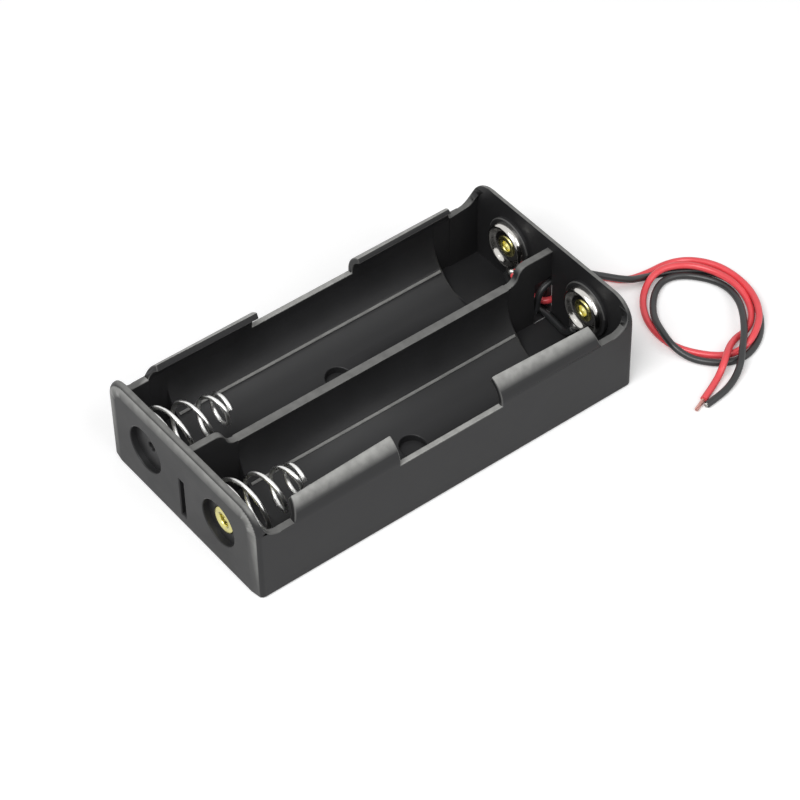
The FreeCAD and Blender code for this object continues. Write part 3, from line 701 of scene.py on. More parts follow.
@dataclass
class MouldedCase:
    """The one-piece case, dressed from its solid with mould radii on its edges."""

    # Where the painted highlight lies on the case.
    wear: CaseWear = CaseWear()
    edge_mm: float = 0.2
    foot_mm: float = 0.5
    foot_depth: float = 1.2
    foot_gap: float = 0.01
    radius_steps: int = 3
    face_share: float = 0.4
    edge_share: float = 0.42
    least_share: float = 0.25
    parallel: float = 0.9
    smooth_degrees: float = 35.0
    flat_weight: int = 80
    lip_pivot_y: float = 15.5
    lip_pivot_z: float = 12.5
    curl_inner: float = 0.16
    curl_outer: float = 0.03

    def is_foot(self, edge: BMEdge) -> bool:
        """Tell whether an edge runs round the outside of the underside.

        Args:
            edge: an edge of the case.

        Returns:
            True where it does.
        """
        low = max(vert.co.z for vert in edge.verts) < self.foot_gap * MM
        middle = sum((vert.co for vert in edge.verts), Vector()) / 2
        at_end = abs(middle.x) > (LAYOUT.half_length - self.foot_depth) * MM
        at_side = abs(middle.y) > (LAYOUT.half_width - self.foot_depth) * MM
        return low and (at_end or at_side)

    def curl_lips(self, shape: BMesh) -> None:
        """Curl the lips in further, most at their inner ends, as thin lips set in the mould.

        Args:
            shape: the case, which is changed.
        """
        for vert in shape.verts:
            along, across, up = abs(vert.co.x) * METRE, abs(vert.co.y) * METRE, vert.co.z * METRE
            out, rise = across - self.lip_pivot_y, up - self.lip_pivot_z
            if not LAYOUT.lip_from < along < LAYOUT.lip_to or out < 0 or rise < 0:
                continue
            share = (along - LAYOUT.lip_from) / (LAYOUT.lip_to - LAYOUT.lip_from)
            curl = self.curl_inner + (self.curl_outer - self.curl_inner) * share
            reach, angle = math.hypot(out, rise), math.atan2(rise, out) * (1 + curl)
            vert.co.y = math.copysign(self.lip_pivot_y + reach * math.cos(angle), vert.co.y) * MM
            vert.co.z = (self.lip_pivot_z + reach * math.sin(angle)) * MM

    def sharp(self, shape: BMesh) -> list[BMEdge]:
        """Find the edges that stand out and turn enough to be rounded.

        Args:
            shape: the case.

        Returns:
            Those edges.
        """
        turn = math.radians(SHARP_DEGREES)
        whole = [edge for edge in shape.edges if len(edge.link_faces) == 2]
        return [edge for edge in whole if edge.is_convex and edge.calc_face_angle() > turn]

    def round_foot(self, shape: BMesh) -> None:
        """Round the outer edge of the underside.

        Args:
            shape: the case, which is changed.
        """
        bmesh.ops.bevel(
            shape,
            geom=[edge for edge in self.sharp(shape) if self.is_foot(edge)],
            offset=self.foot_mm * MM,
            segments=self.radius_steps,
            profile=0.5,
            affect="EDGES",
            clamp_overlap=False,
            loop_slide=False,
        )

    def weigh_edges(self, shape: BMesh) -> None:
        """Weigh the sharp edges for the fine bevel, less where faces or next edges are small.

        Args:
            shape: the case, whose edges get their weights.
        """
        weight = shape.edges.layers.float.new("bevel_weight_edge")
        full = self.edge_mm * MM
        for edge in self.sharp(shape):
            along = (edge.verts[1].co - edge.verts[0].co).normalized()
            widths = [face.calc_area() / edge.calc_length() for face in edge.link_faces]
            room = min(full, *(self.face_share * width for width in widths))
            for vert in edge.verts:
                for other in vert.link_edges:
                    across = (other.verts[1].co - other.verts[0].co).normalized()
                    if other is not edge and abs(across.dot(along)) < self.parallel:
                        room = min(room, self.edge_share * other.calc_length())
            edge[weight] = room / full if room > self.least_share * full else 0.0

    def round_edges(self, made: Object) -> Object:
        """Round the weighed edges, with the second material on the new faces.

        Args:
            made: the case, which is removed.

        Returns:
            The case with its mould radii, its flat faces shaded flat.
        """
        bevel = made.modifiers.new("mould_radii", "BEVEL")
        bevel.width = self.edge_mm * MM
        bevel.segments = self.radius_steps
        bevel.limit_method = "WEIGHT"
        bevel.use_clamp_overlap = False
        bevel.loop_slide = False
        bevel.material = 1
        made = applied(made)
        smooth(made.data, self.smooth_degrees)
        level = made.modifiers.new("flat_faces_stay_flat", "WEIGHTED_NORMAL")
        level.weight = self.flat_weight
        level.keep_sharp = True
        return applied(made)

    def rub(self, mesh: Mesh) -> None:
        """Write the case's painted highlight to its mesh, and leave it one material.

        Args:
            mesh: the case's mesh, which is changed.
        """
        rub = mesh.attributes.new(PAINTED_HIGHLIGHT, "FLOAT", "CORNER")
        for face in mesh.polygons:
            least = self.wear.least(face)
            for index in face.loop_indices:
                place = mesh.vertices[mesh.loops[index].vertex_index].co
                facing = mesh.corner_normals[index].vector
                rub.data[index].value = max(least, self.wear.at(place, facing))
        mesh.polygons.foreach_set("material_index", [0] * len(mesh.polygons))
        mesh.materials.pop(index=1)

    def build(self, frame: dict, finishes: Finishes) -> Object:
        """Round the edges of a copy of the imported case.

        Args:
            finishes: the holder's materials.

        Returns:
            The case.
        """
        mesh, shape = packed_copy(frame, "case")
        self.curl_lips(shape)
        self.round_foot(shape)
        self.weigh_edges(shape)
        shape.to_mesh(mesh)
        shape.free()
        for _ in range(2):
            mesh.materials.append(finishes.case)
        made = self.round_edges(object_of("holder_case", mesh))
        # Paint the highlight, a light grey for the sheen of light, onto the case's mesh.
        self.rub(made.data)
        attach(made, "case")
        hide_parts("case")
        return made


@dataclass
class ConicalSpring:
    """A wire spring that narrows towards the cell, closed and flat at both ends."""

    foot_x: float = -34.765
    axis_y: float = LAYOUT.bay_y
    axis_z: float = LAYOUT.spring_z
    wire: float = 0.75
    base_radius: float = 5.45
    tip_radius: float = 2.6
    turns: float = 4.5
    start_degrees: float = -30.0
    closed_turns: float = 1.0
    closed_rise: float = 0.85
    free_length: float = 12.9
    travel: float = 8.5
    points: int = 260
    sides: int = 16
    smooth_degrees: float = 50.0

    def tree(self, finish: Material) -> GeometryNodeTree:
        """Build the tree that bends a straight wire into the spring.

        Args:
            finish: material of the wire.

        Returns:
            The geometry tree, with the spring's sizes as its inputs.
        """
        tree = bpy.data.node_groups.new("spring_winding", "GeometryNodeTree")
        face = tree.interface
        face.new_socket("Geometry", in_out="OUTPUT", socket_type="NodeSocketGeometry")
        lengths = ("Closed Rise", "Pitch", "Base Radius", "Tip Radius", "Wire Radius")
        for title in ("Turns", "Closed Turns", "Start Angle", *lengths):
            face.new_socket(title, in_out="INPUT", socket_type="NodeSocketFloat")
        given = add_node(tree, "NodeGroupInput").outputs
        line = add_node(tree, "GeometryNodeCurvePrimitiveLine", inputs={"End": (1.0, 0.0, 0.0)})
        parts = {"Curve": line.outputs[0], "Count": self.points}
        fine = add_node(tree, "GeometryNodeResampleCurve", inputs=parts)
        share = add_node(tree, "GeometryNodeSplineParameter").outputs["Factor"]
        known = {output.name: output for output in given if output.name} | {"share": share}
        steps = (
            ("turn", "MULTIPLY", "share", "Turns"),
            ("closed", "MULTIPLY", "Closed Turns", 2.0),
            ("active", "SUBTRACT", "Turns", "closed"),
            ("base", "MINIMUM", "turn", "Closed Turns"),
            ("past", "SUBTRACT", "turn", "Closed Turns"),
            ("reached", "MAXIMUM", "past", 0.0),
            ("span", "MINIMUM", "reached", "active"),
            ("beyond", "SUBTRACT", "past", "active"),
            ("tip", "MAXIMUM", "beyond", 0.0),
            ("squared", "MULTIPLY", "base", "base"),
            ("flat", "DIVIDE", "squared", "Closed Turns"),
            ("ends", "ADD", "flat", "tip"),
            ("rise", "MULTIPLY", "ends", "Closed Rise"),
            ("climb", "MULTIPLY", "span", "Pitch"),
            ("along", "ADD", "rise", "climb"),
            ("narrow", "SUBTRACT", "Tip Radius", "Base Radius"),
            ("portion", "DIVIDE", "span", "active"),
            ("drawn", "MULTIPLY", "narrow", "portion"),
            ("radius", "ADD", "Base Radius", "drawn"),
            ("swing", "MULTIPLY", "turn", 2 * math.pi),
            ("angle", "ADD", "swing", "Start Angle"),
            ("cosine", "COSINE", "angle", 0.0),
            ("sine", "SINE", "angle", 0.0),
            ("across", "MULTIPLY", "radius", "cosine"),
            ("up", "MULTIPLY", "radius", "sine"),
        )
        for title, operation, *terms in steps:
            feeds = {place: known.get(term, term) for place, term in enumerate(terms)}
            made = add_node(tree, "ShaderNodeMath", {"operation": operation}, feeds)
            known[title] = made.outputs[0]
        ordinates = {0: known["along"], 1: known["across"], 2: known["up"]}
        point = add_node(tree, "ShaderNodeCombineXYZ", inputs=ordinates)
        wound = add_node(
            tree,
            "GeometryNodeSetPosition",
            inputs={"Geometry": fine.outputs[0], "Position": point.outputs[0]},
        )
        section = add_node(
            tree,
            "GeometryNodeCurvePrimitiveCircle",
            inputs={"Resolution": self.sides, "Radius": given["Wire Radius"]},
        )
        sweep = {"Curve": wound.outputs[0], "Profile Curve": section.outputs[0], "Fill Caps": True}
        swept = add_node(tree, "GeometryNodeCurveToMesh", inputs=sweep)
        real = add_node(tree, "GeometryNodeRealizeInstances", inputs={"Geometry": swept.outputs[0]})
        coat = {"Geometry": real.outputs[0], "Material": finish}
        coated = add_node(tree, "GeometryNodeSetMaterial", inputs=coat)
        add_node(tree, "NodeGroupOutput", inputs={0: coated.outputs[0]})
        return tree

    def build(self, bay: Bay, finishes: Finishes) -> Object:
        """Wind the spring of one bay.

        Args:
            bay: the bay that it stands in.
            finishes: the holder's materials.

        Returns:
            The spring.
        """
        active = self.turns - 2 * self.closed_turns
        climb = self.free_length - self.wire - 2 * self.closed_turns * self.closed_rise
        sizes = {
            "Turns": self.turns,
            "Closed Turns": self.closed_turns,
            "Start Angle": math.radians(self.start_degrees),
            "Closed Rise": self.closed_rise * MM,
            "Pitch": climb / active * MM,
            "Base Radius": self.base_radius * MM,
            "Tip Radius": self.tip_radius * MM,
            "Wire Radius": self.wire / 2 * MM,
        }
        made = grown(f"spring_wire_{bay.word}", self.tree(finishes.wire), sizes)
        foot_middle = mm(self.foot_x, bay.value * self.axis_y, self.axis_z)
        made.data.transform(Matrix.Translation(foot_middle))
        smooth(made.data, self.smooth_degrees)
        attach(made, "case")
        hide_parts(f"spring_{bay.word}")
        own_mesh(made)
        return made


@dataclass
class Eyelet:
    """Rolled brass rivet through an end wall, with a curled flange at each end."""

    face_x: float
    axis_y: float
    axis_z: float
    bore: float = 0.95
    barrel: float = 1.4
    flange: float = 2.0
    grip: float = 1.1
    curl_share: float = 0.55
    curl_points: int = 11
    sides: int = 48

    def build(self, name: str, node: str, outward: int, finishes: Finishes) -> Object:
        """Turn the eyelet.

        Args:
            name: name of the piece.
            node: the solid that it stands for.
            outward: sign of X out of the case at this end.
            finishes: the holder's materials.

        Returns:
            The eyelet.
        """
        curl = (self.flange - self.bore) / 2
        centre = (0.0, (self.bore + self.flange) / 2)
        front = arc_points(centre, curl, 270, 90, self.curl_points)
        back = arc_points(centre, curl, 90, -90, self.curl_points)
        profile = [(x * self.curl_share, r) for x, r in front]
        profile += [(0.0, self.barrel), (self.grip, self.barrel)]
        profile += [(self.grip + x * self.curl_share, r) for x, r in back]
        profile = [(outward * x, r) for x, r in profile]
        middle = Vector((self.face_x, self.axis_y, self.axis_z))
        made = lathe(name, profile, middle, self.sides)
        made.data.materials.append(finishes.brass)
        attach(made, "case")
        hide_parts(node)
        return made


@dataclass
class PlateContact:
    """Plated contact of one bay: a disc with a bead, steep on its outside, and a solder tab."""

    face_x: float = LAYOUT.seat_x
    axis_y: float = LAYOUT.bay_y
    axis_z: float = LAYOUT.contact_z
    metal: float = 0.3
    radius: float = 4.3
    bead: float = 0.8
    bead_width: float = 1.5
    bead_lean: float = 1.7
    bead_fullness: float = 0.8
    bead_steps: int = 16
    bead_spacing: float = 0.75
    bead_gap: float = 0.15
    hole: float = 1.43
    sides: int = 64
    tab_width: float = 3.6
    tab_foot: float = 4.2
    tab_lap: float = 0.3
    tab_edge: float = 0.1

    def build(self, bay: Bay, finishes: Finishes) -> Object:
        """Press the plate and its tab.

        Args:
            bay: the bay that it stands in.
            finishes: the holder's materials.

        Returns:
            The contact plate.
        """
        flat = self.radius - self.bead_width
        profile = [(self.metal, self.hole), (0.0, self.hole), (0.0, flat - self.bead_gap)]
        for step in range(self.bead_steps + 1):
            share = (step / self.bead_steps) ** self.bead_spacing
            rise = math.sin(math.pi * share**self.bead_lean) ** self.bead_fullness
            profile.append((-self.bead * rise, flat + self.bead_width * share))
        profile.append((self.metal, self.radius))
        centre = Vector((self.face_x, bay.value * self.axis_y, self.axis_z))
        disc = lathe("disc", profile, centre, self.sides)
        middle = bay.value * LAYOUT.tab_y
        head = self.axis_z - flat + self.tab_lap
        low = Vector((self.face_x, middle - self.tab_width / 2, self.tab_foot))
        high = Vector((self.face_x + self.metal, middle + self.tab_width / 2, head))
        tab = rounded_block("tab", low, high, self.tab_edge)
        made = joined(f"contact_{bay.word}", [disc, tab])
        made.data.materials.append(finishes.nickel)
        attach(made, "case")
        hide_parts(f"contact_plate_{bay.word}")
        return made


@dataclass
class SolderJoint:
    """Cooled drop of solder on the front of a tab, slightly uneven."""

    foot_x: float
    outward: int
    y: float
    z: float
    radius: float = 0.9
    height: float = 0.85
    foot_hole: float = 0.02
    dome_end: float = 4.0
    dome_points: int = 9
    sides: int = 28
    oval: float = 0.1
    lobes: float = 0.06
    phase_span: float = 6.28
    smooth_degrees: float = 60.0

    def build(self, name: str, node: str, finishes: Finishes) -> Object:
        """Shape the drop.

        Args:
            name: name of the piece.
            node: the solid that it stands for.
            finishes: the holder's materials.

        Returns:
            The joint.
        """
        dome = arc_points((0, 0), 1.0, 90, self.dome_end, self.dome_points)
        profile = [(0.0, self.foot_hole), (0.0, self.radius)]
        profile += [(-self.outward * x * self.height, r * self.radius) for x, r in dome]
        made = lathe(name, profile, Vector((self.foot_x, self.y, self.z)), self.sides)
        dice = random.Random(node)
        oval_phase = dice.uniform(0, self.phase_span)
        lobe_phase = dice.uniform(0, self.phase_span)
        centre = mm(self.foot_x, self.y, self.z)
        for vert in made.data.vertices:
            out = vert.co - centre
            angle = math.atan2(out.z, out.y)
            squeeze = self.oval * (1 + math.sin(2 * angle + oval_phase)) / 2
            dent = self.lobes * math.sin(3 * angle + lobe_phase) ** 2
            swell = 1 - squeeze - dent
            vert.co = centre + Vector((out.x, out.y * swell, out.z * swell))
        smooth(made.data, self.smooth_degrees)
        made.data.materials.append(finishes.tin)
        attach(made, "case")
        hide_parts(node)
        return made


@dataclass
class SpringStrip:
    """Plated strip behind both springs, dressed from its solid with its edges eased."""

    edge_mm: float = 0.06
    edge_steps: int = 2
    sharp_degrees: float = 30.0

    def build(self, frame: dict, finishes: Finishes) -> Object:
        """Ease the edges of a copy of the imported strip.

        Args:
            finishes: the holder's materials.

        Returns:
            The strip.
        """
        mesh, shape = packed_copy(frame, "spring_strip")
        shape.to_mesh(mesh)
        shape.free()
        mesh.materials.append(finishes.nickel)
        smooth(mesh, self.sharp_degrees)
        made = object_of("joining_strip", mesh)
        bevel = made.modifiers.new("eased_edges", "BEVEL")
        bevel.width = self.edge_mm * MM
        bevel.segments = self.edge_steps
        bevel.limit_method = "ANGLE"
        bevel.angle_limit = math.radians(self.sharp_degrees)
        made = applied(made)
        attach(made, "case")
        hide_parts("spring_strip")
        return made


@dataclass
class Lead:
    """One insulated wire: its route and its sleeve."""

    colour: str
    route: list[Point]
    sleeve: float = 1.2

    @property
    def slot(self) -> str:
        """A name made from the sleeve's colour, such as red_sleeve."""
        return f"{self.colour}_sleeve"

    def curve(self, name: str) -> Object:
        """Lay a smooth round curve along the route.

        Args:
            name: name of the object.

        Returns:
            The curve.
        """
        data = bpy.data.curves.new(name, "CURVE")
        data.dimensions = "3D"
        data.resolution_u = 6
        spline = data.splines.new("NURBS")
        spline.points.add(len(self.route) - 1)
        for point, place in zip(spline.points, self.route):
            point.co = (*mm(*place), 1.0)
        spline.order_u = 3
        spline.use_endpoint_u = True
        data.bevel_depth = self.sleeve / 2 * MM
        data.bevel_resolution = 5
        data.use_fill_caps = True
        return object_of(name, data)

    def held(self, name: str, node: str, finish: Material) -> Object:
        """Make a wire that the case holds.

        Args:
            name: name of the piece.
            node: the solid that it stands for.
            finish: material of its sleeve.

        Returns:
            The wire as a mesh.
        """
        made = applied(self.curve(name))
        made.data.materials.clear()
        made.data.materials.append(finish)
        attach(made, "case")
        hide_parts(node)
        return made

    def free(self, length: float, strands: Object, finish: Material) -> Object:
        """Make a lead that leaves the case and lies in loose turns.

        Args:
            length: real length of the lead in millimetres; not used.
            strands: the bare strands at its end; not used.
            finish: material of its sleeve.

        Returns:
            The lead as a curve.
        """
        made = self.curve(f"{self.colour}_lead")
        made.data.materials.append(finish)
        node = f"lead_{self.colour}"
        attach(made, "case")
        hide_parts(node, f"{node}_coil", f"{node}_tail")
        return made


@dataclass
class StrandBundle:
    """Twisted bare strands that stand out of a lead's sleeve."""

    colour: str
    length: float
    count: int = 6
    strand: float = 0.22
    bundle: float = 0.24
    inside: float = 0.3
    lay_mm: float = 9.0
    points: int = 14
    sides: int = 8
    smooth_degrees: float = 60.0

    def tree(self, finish: Material) -> GeometryNodeTree:
        """Build the tree that lays strands round a core and twists them.

        Args:
            finish: material of the strands.

        Returns:
            The geometry tree, with the bundle's sizes as its inputs.
        """
        tree = bpy.data.node_groups.new("strand_twist", "GeometryNodeTree")
        face = tree.interface
        face.new_socket("Geometry", in_out="OUTPUT", socket_type="NodeSocketGeometry")
        for title in ("Strand Radius", "Bundle Radius", "Length", "Twist"):
            face.new_socket(title, in_out="INPUT", socket_type="NodeSocketFloat")
        face.new_socket("Count", in_out="INPUT", socket_type="NodeSocketInt")
        given = add_node(tree, "NodeGroupInput").outputs
        tip = add_node(tree, "ShaderNodeCombineXYZ", inputs={2: given["Length"]})
        line = add_node(tree, "GeometryNodeCurvePrimitiveLine", inputs={"End": tip.outputs[0]})
        parts = {"Curve": line.outputs[0], "Count": self.points}
        fine = add_node(tree, "GeometryNodeResampleCurve", inputs=parts)
        section = add_node(
            tree,
            "GeometryNodeCurvePrimitiveCircle",
            inputs={"Resolution": self.sides, "Radius": given["Strand Radius"]},
        )
        sweep = {"Curve": fine.outputs[0], "Profile Curve": section.outputs[0], "Fill Caps": True}
        strand = add_node(tree, "GeometryNodeCurveToMesh", inputs=sweep)
        ring = add_node(
            tree,
            "GeometryNodeMeshCircle",
            inputs={"Vertices": given["Count"], "Radius": given["Bundle Radius"]},
        )
        core = add_node(tree, "GeometryNodePoints", inputs={"Count": 1})
        both = add_node(tree, "GeometryNodeJoinGeometry")
        for part in (ring, core):
            tree.links.new(part.outputs[0], both.inputs[0])
        laid = add_node(
            tree,
            "GeometryNodeInstanceOnPoints",
            inputs={"Points": both.outputs[0], "Instance": strand.outputs[0]},
        )
        real = add_node(tree, "GeometryNodeRealizeInstances", inputs={"Geometry": laid.outputs[0]})
        spot = add_node(tree, "GeometryNodeInputPosition")
        height = add_node(tree, "ShaderNodeSeparateXYZ", inputs={0: spot.outputs[0]})
        angle = add_node(
            tree,
            "ShaderNodeMath",
            {"operation": "MULTIPLY"},
            {0: height.outputs[2], 1: given["Twist"]},
        )
        turned = add_node(
            tree,
            "ShaderNodeVectorRotate",
            {"rotation_type": "Z_AXIS"},
            {"Vector": spot.outputs[0], "Angle": angle.outputs[0]},
        )
        twisted = add_node(
            tree,
            "GeometryNodeSetPosition",
            inputs={"Geometry": real.outputs[0], "Position": turned.outputs[0]},
        )
        coat = {"Geometry": twisted.outputs[0], "Material": finish}
        coated = add_node(tree, "GeometryNodeSetMaterial", inputs=coat)
        add_node(tree, "NodeGroupOutput", inputs={0: coated.outputs[0]})
        return tree

    def build(self, route: list[Point], finish: Material) -> Object:
        """Twist the strands at the end of a lead.

        Args:
            route: the lead's route in millimetres.
            finish: material of the strands.

        Returns:
            The bundle.
        """
        sizes = {
            "Strand Radius": self.strand / 2 * MM,
            "Bundle Radius": self.bundle * MM,
            "Length": (self.length + self.inside) * MM,
            "Twist": 2 * math.pi / (self.lay_mm * MM),
            "Count": self.count,
        }
        made = grown(f"{self.colour}_bare_strands", self.tree(finish), sizes)
        heading = (Vector(route[-1]) - Vector(route[-2])).normalized()
        start = mm(*(Vector(route[-1]) - heading * self.inside))
        turn = heading.to_track_quat("Z", "Y").to_matrix().to_4x4()
        made.data.transform(Matrix.Translation(start) @ turn)
        smooth(made.data, self.smooth_degrees)
        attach(made, "case")
        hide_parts(f"{self.colour}_strands")
        return made


@dataclass
class Wiring:
    """All the leads: those held in the case and the two that leave it."""

    red_length: float = 131.5
    black_length: float = 127.0
    red_bare: float = 2.6
    black_bare: float = 0.4

    RED_ROUTE = [
        (37.5, 0.0, 4.3), (41.2, 0.6, 3.8), (44.6, 3.0, 1.9), (47.4, 4.5, 0.62), (49.7, 1.7, 0.62),
        (51.3, -0.5, 0.62), (52.7, -1.5, 0.62), (54.5, -2.0, 0.62), (56.7, -2.3, 0.62),
        (59.1, -2.4, 0.63), (61.4, -3.0, 0.72), (63.3, -4.6, 1.14), (64.7, -7.2, 1.75),
        (65.8, -10.0, 1.91), (66.2, -13.3, 1.93), (65.9, -16.7, 1.95), (64.7, -20.0, 1.94),
        (62.8, -22.7, 1.92), (60.1, -24.8, 1.9), (57.6, -25.8, 1.32), (55.2, -25.8, 0.68),
        (53.0, -25.0, 0.62), (51.2, -23.5, 0.62), (49.7, -21.6, 0.62), (48.5, -19.6, 0.62),
        (47.8, -17.3, 0.62), (47.7, -14.5, 0.62), (48.2, -11.7, 0.63), (49.5, -8.8, 0.65),
        (51.5, -6.3, 0.67), (53.6, -4.8, 1.18), (55.6, -4.2, 1.94), (58.0, -4.1, 2.0), (60.2, -5.0, 2.0),
        (62.1, -6.5, 2.01), (63.5, -8.6, 1.98), (64.4, -11.0, 2.0), (64.8, -13.8, 2.02),
        (64.7, -16.3, 1.77), (64.2, -18.7, 1.08), (62.8, -20.9, 0.83), (60.7, -22.6, 0.85),
        (58.7, -23.2, 0.88), (56.9, -23.4, 1.04), (54.4, -24.6, 1.72), (52.1, -26.3, 2.23),
        (50.5, -27.4, 1.91), (49.0, -28.1, 0.94), (46.6, -29.2, 0.69), (43.6, -30.4, 0.62),
    ]
    BLACK_ROUTE = [
        (37.5, 0.0, 8.7), (41.6, -0.3, 8.2), (45.4, -0.9, 5.6), (50.7, -3.4, 3.01), (53.8, -3.2, 1.53),
        (56.2, -3.3, 0.74), (58.5, -4.1, 0.65), (60.7, -5.4, 0.64), (62.9, -6.9, 0.64), (64.7, -8.9, 0.63),
        (65.8, -11.7, 0.63), (66.1, -14.9, 0.63), (65.5, -18.4, 0.62), (64.0, -21.7, 0.62),
        (61.7, -24.3, 0.62), (59.3, -26.1, 0.62), (56.5, -27.2, 0.62), (53.9, -27.2, 0.66),
        (51.7, -26.3, 0.69), (49.9, -24.7, 0.73), (48.4, -22.7, 0.77), (47.4, -20.7, 1.3),
        (46.9, -18.5, 2.09), (47.8, -15.2, 2.0), (49.2, -11.9, 1.3), (51.3, -9.0, 0.9),
        (53.8, -6.7, 0.85), (56.3, -5.5, 0.82), (58.5, -5.6, 0.81), (60.5, -6.7, 0.79),
        (62.1, -8.5, 0.79), (63.3, -10.4, 0.79), (64.0, -12.6, 0.83), (63.8, -15.1, 1.1),
        (62.6, -18.2, 1.55), (60.4, -21.4, 2.0), (57.8, -24.4, 2.31), (55.3, -26.7, 2.29),
        (53.2, -28.7, 1.98), (51.4, -29.8, 1.11), (49.0, -30.8, 0.76), (46.3, -31.4, 0.69),
        (43.3, -31.6, 0.62),
    ]
    RED_INSIDE = [
        (34.6, 7.1, 6.0), (34.6, 6.85, 4.3), (34.8, 3.2, 4.2), (35.6, 0.0, 4.3), (37.5, 0.0, 4.3),
    ]
    JOINING = [
        (34.6, -8.2, 5.2), (34.6, -6.85, 2.6), (35.15, -3.0, 2.65), (35.15, 3.0, 2.65),
        (34.6, 8.2, 2.6), (34.6, 8.9, 5.2),
    ]
    BLACK_INSIDE = [
        (-34.6, 0.0, 4.2), (-34.6, 0.0, 0.85), (33.7, 0.0, 0.85), (33.7, 0.0, 8.7), (37.5, 0.0, 8.7),
    ]

    def build(self, finishes: Finishes) -> list[Object]:
        """Lay every lead.

        Args:
            finishes: the holder's materials.

        Returns:
            The free leads, their strands and the held wires.
        """
        red = Lead("red", self.RED_ROUTE)
        black = Lead("black", self.BLACK_ROUTE)
        red_end = StrandBundle("red", self.red_bare).build(red.route, finishes.copper)
        black_end = StrandBundle("black", self.black_bare).build(black.route, finishes.tin)
        made = [red_end, black_end]
        made.append(red.free(self.red_length, red_end, finishes.red))
        made.append(black.free(self.black_length, black_end, finishes.black))
        held = (
            ("red", self.RED_INSIDE, "red_lead_inside", "lead_red_inner", finishes.red),
            ("black", self.JOINING, "joining_wire", "positive_link", finishes.black),
            ("black", self.BLACK_INSIDE, "black_lead_inside", "lead_black_inner", finishes.black),
        )
        for colour, route, name, node, finish in held:
            made.append(Lead(colour, route).held(name, node, finish))
        return made


# Studio


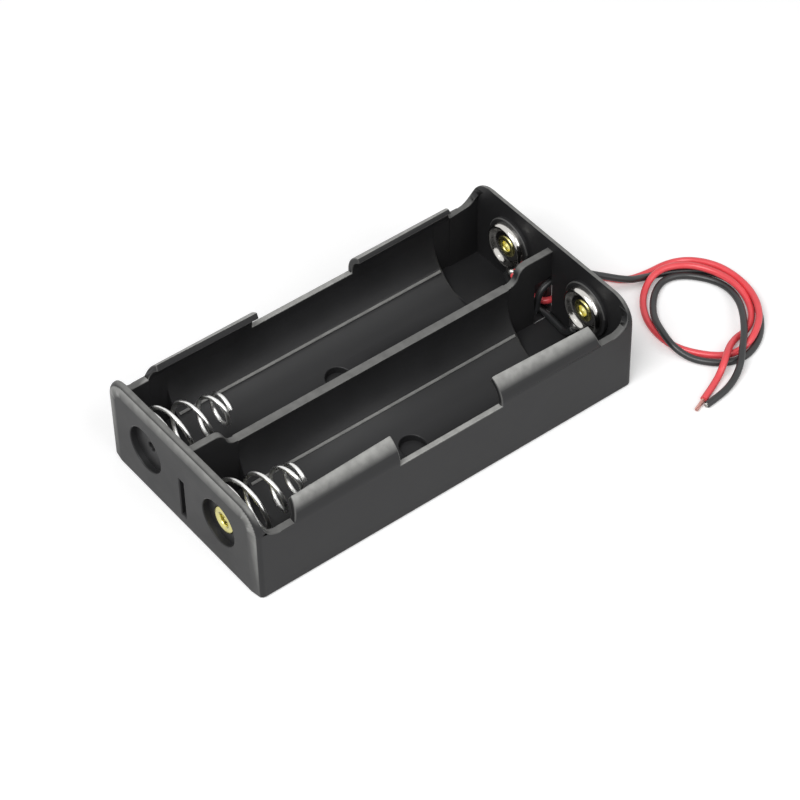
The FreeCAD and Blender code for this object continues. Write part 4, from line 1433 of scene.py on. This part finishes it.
@dataclass
class Studio:
    """Pale floor, soft lamps and the camera at the photo's angle."""

    camera_mm: Point = (-205.223, -279.81, 358.79)
    heading: float = 36.9255
    tilt: float = 45.641
    roll: float = -1.242
    focal_px: float = 3092.36
    frame_px: float = 800.0
    sensor: float = 36.0
    near_mm: float = 10.0
    floor_colour: str = "f6f6f6"
    floor_roughness: float = 0.9
    floor_specular: float = 0.1
    floor_reach: float = 3000.0
    floor_lift: float = 0.22
    covered_x: float = 37.0
    covered_y: float = 19.5
    lit_mm: Point = (10.0, -5.0, 5.0)
    key_mm: Point = (-420.0, -160.0, 700.0)
    key_side: float = 500.0
    key_power: float = 5.2
    fill_mm: Point = (150.0, -600.0, 520.0)
    fill_side: float = 600.0
    fill_power: float = 2.2
    sky_light: float = 0.22

    def place_camera(self) -> None:
        """Set the camera from its place, heading, tilt and roll."""
        data = bpy.data.cameras.new("camera")
        data.sensor_width = self.sensor
        data.lens = self.focal_px / self.frame_px * self.sensor
        data.clip_start = self.near_mm * MM
        camera = object_of("camera", data)
        turn = Matrix.Rotation(math.radians(-self.heading), 4, "Z")
        turn = turn @ Matrix.Rotation(math.radians(90 - self.tilt), 4, "X")
        turn = turn @ Matrix.Rotation(math.radians(self.roll), 4, "Z")
        camera.matrix_world = Matrix.Translation(mm(*self.camera_mm)) @ turn
        bpy.context.scene.camera = camera

    def lay_floor(self) -> None:
        """Lay a matt pale floor, a little brighter to the camera where nothing covers it."""
        shape = bmesh.new()
        bmesh.ops.create_grid(shape, x_segments=1, y_segments=1, size=self.floor_reach * MM)
        mesh = bpy.data.meshes.new("floor")
        shape.to_mesh(mesh)
        shape.free()
        floor = object_of("floor", mesh)
        paper = bpy.data.materials.new("matt_white_paper")
        paper.use_nodes = True
        tree = paper.node_tree
        path = add_node(tree, "ShaderNodeLightPath")
        place = add_node(tree, "ShaderNodeTexCoord")
        apart = add_node(tree, "ShaderNodeSeparateXYZ", inputs={0: place.outputs["Object"]})
        known = {"x": apart.outputs[0], "y": apart.outputs[1], "seen": path.outputs["Is Camera Ray"]}
        steps = (
            ("along", "ABSOLUTE", "x", 0.0),
            ("across", "ABSOLUTE", "y", 0.0),
            ("past_end", "GREATER_THAN", "along", self.covered_x * MM),
            ("past_side", "GREATER_THAN", "across", self.covered_y * MM),
            ("open", "MAXIMUM", "past_end", "past_side"),
            ("shown", "MULTIPLY", "open", "seen"),
            ("lift", "MULTIPLY", "shown", self.floor_lift),
        )
        for title, operation, *terms in steps:
            feeds = {index: known.get(term, term) for index, term in enumerate(terms)}
            made = add_node(tree, "ShaderNodeMath", {"operation": operation}, feeds)
            known[title] = made.outputs[0]
        shader = tree.nodes["Principled BSDF"]
        shader.inputs["Base Color"].default_value = linear(self.floor_colour)
        shader.inputs["Roughness"].default_value = self.floor_roughness
        shader.inputs["Specular IOR Level"].default_value = self.floor_specular
        shader.inputs["Emission Color"].default_value = linear("ffffff")
        tree.links.new(known["lift"], shader.inputs["Emission Strength"])
        mesh.materials.append(paper)

    def hang_lamp(self, name: str, place: Point, side: float, power: float) -> None:
        """Hang a square soft lamp that faces the holder.

        Args:
            name: name of the lamp.
            place: its place in millimetres.
            side: length of its side in millimetres.
            power: its power in watts.
        """
        data = bpy.data.lights.new(name, "AREA")
        data.shape = "SQUARE"
        data.size = side * MM
        data.energy = power
        lamp = object_of(name, data)
        aim = mm(*self.lit_mm) - mm(*place)
        turn = aim.to_track_quat("-Z", "Y").to_matrix().to_4x4()
        lamp.matrix_world = Matrix.Translation(mm(*place)) @ turn

    def light_world(self) -> None:
        """Light the surroundings dimly, and show them white to the camera and in reflections."""
        world = bpy.data.worlds.new("studio")
        bpy.context.scene.world = world
        world.use_nodes = True
        tree = world.node_tree
        tree.nodes.clear()
        path = add_node(tree, "ShaderNodeLightPath")
        white = path.outputs["Is Camera Ray"]
        for ray in ("Is Glossy Ray", "Is Transmission Ray"):
            either = {0: white, 1: path.outputs[ray]}
            most = add_node(tree, "ShaderNodeMath", {"operation": "MAXIMUM"}, either)
            white = most.outputs[0]
        skies = []
        for strength in (self.sky_light, 1.0):
            sky = {"Color": linear("ffffff"), "Strength": strength}
            skies.append(add_node(tree, "ShaderNodeBackground", inputs=sky).outputs[0])
        mix = add_node(tree, "ShaderNodeMixShader", inputs={0: white, 1: skies[0], 2: skies[1]})
        add_node(tree, "ShaderNodeOutputWorld", inputs={"Surface": mix.outputs[0]})

    def build(self) -> None:
        """Set up the whole studio."""
        self.place_camera()
        self.lay_floor()
        self.hang_lamp("key", self.key_mm, self.key_side, self.key_power)
        self.hang_lamp("fill", self.fill_mm, self.fill_side, self.fill_power)
        self.light_world()
        bpy.context.scene.view_settings.view_transform = "Standard"


def main() -> None:
    """Build the studio and every piece of the holder."""
    logging.basicConfig(level=logging.INFO, format="%(message)s")
    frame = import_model()
    Studio().build()
    finishes = Finishes.make()
    made = Wiring().build(finishes)
    made.append(MouldedCase().build(frame, finishes))
    made.append(SpringStrip().build(frame, finishes))
    for bay in Bay:
        word = bay.word
        made.append(ConicalSpring().build(bay, finishes))
        made.append(PlateContact().build(bay, finishes))
        eyelet = Eyelet(LAYOUT.seat_x, bay.value * LAYOUT.bay_y, LAYOUT.contact_z)
        made.append(eyelet.build(f"plate_eyelet_{word}", f"contact_eyelet_{word}", 1, finishes))
        joint = SolderJoint(LAYOUT.seat_x, 1, bay.value * LAYOUT.tab_y, LAYOUT.tab_joint_z)
        made.append(joint.build(f"plate_solder_{word}", f"solder_{word}", finishes))
    eyelet = Eyelet(-LAYOUT.seat_x, -LAYOUT.bay_y, LAYOUT.spring_z, bore=1.05, flange=2.45)
    made.append(eyelet.build("strip_eyelet", "spring_eyelet", -1, finishes))
    joint = SolderJoint(-LAYOUT.seat_x, -1, 0.0, LAYOUT.strip_joint_z)
    made.append(joint.build("strip_solder", "solder_black", finishes))
    for piece in made:
        LOG.info("%s: %d faces", piece.name, len(getattr(piece.data, "polygons", [])))


if __name__ == "__main__":
    main()
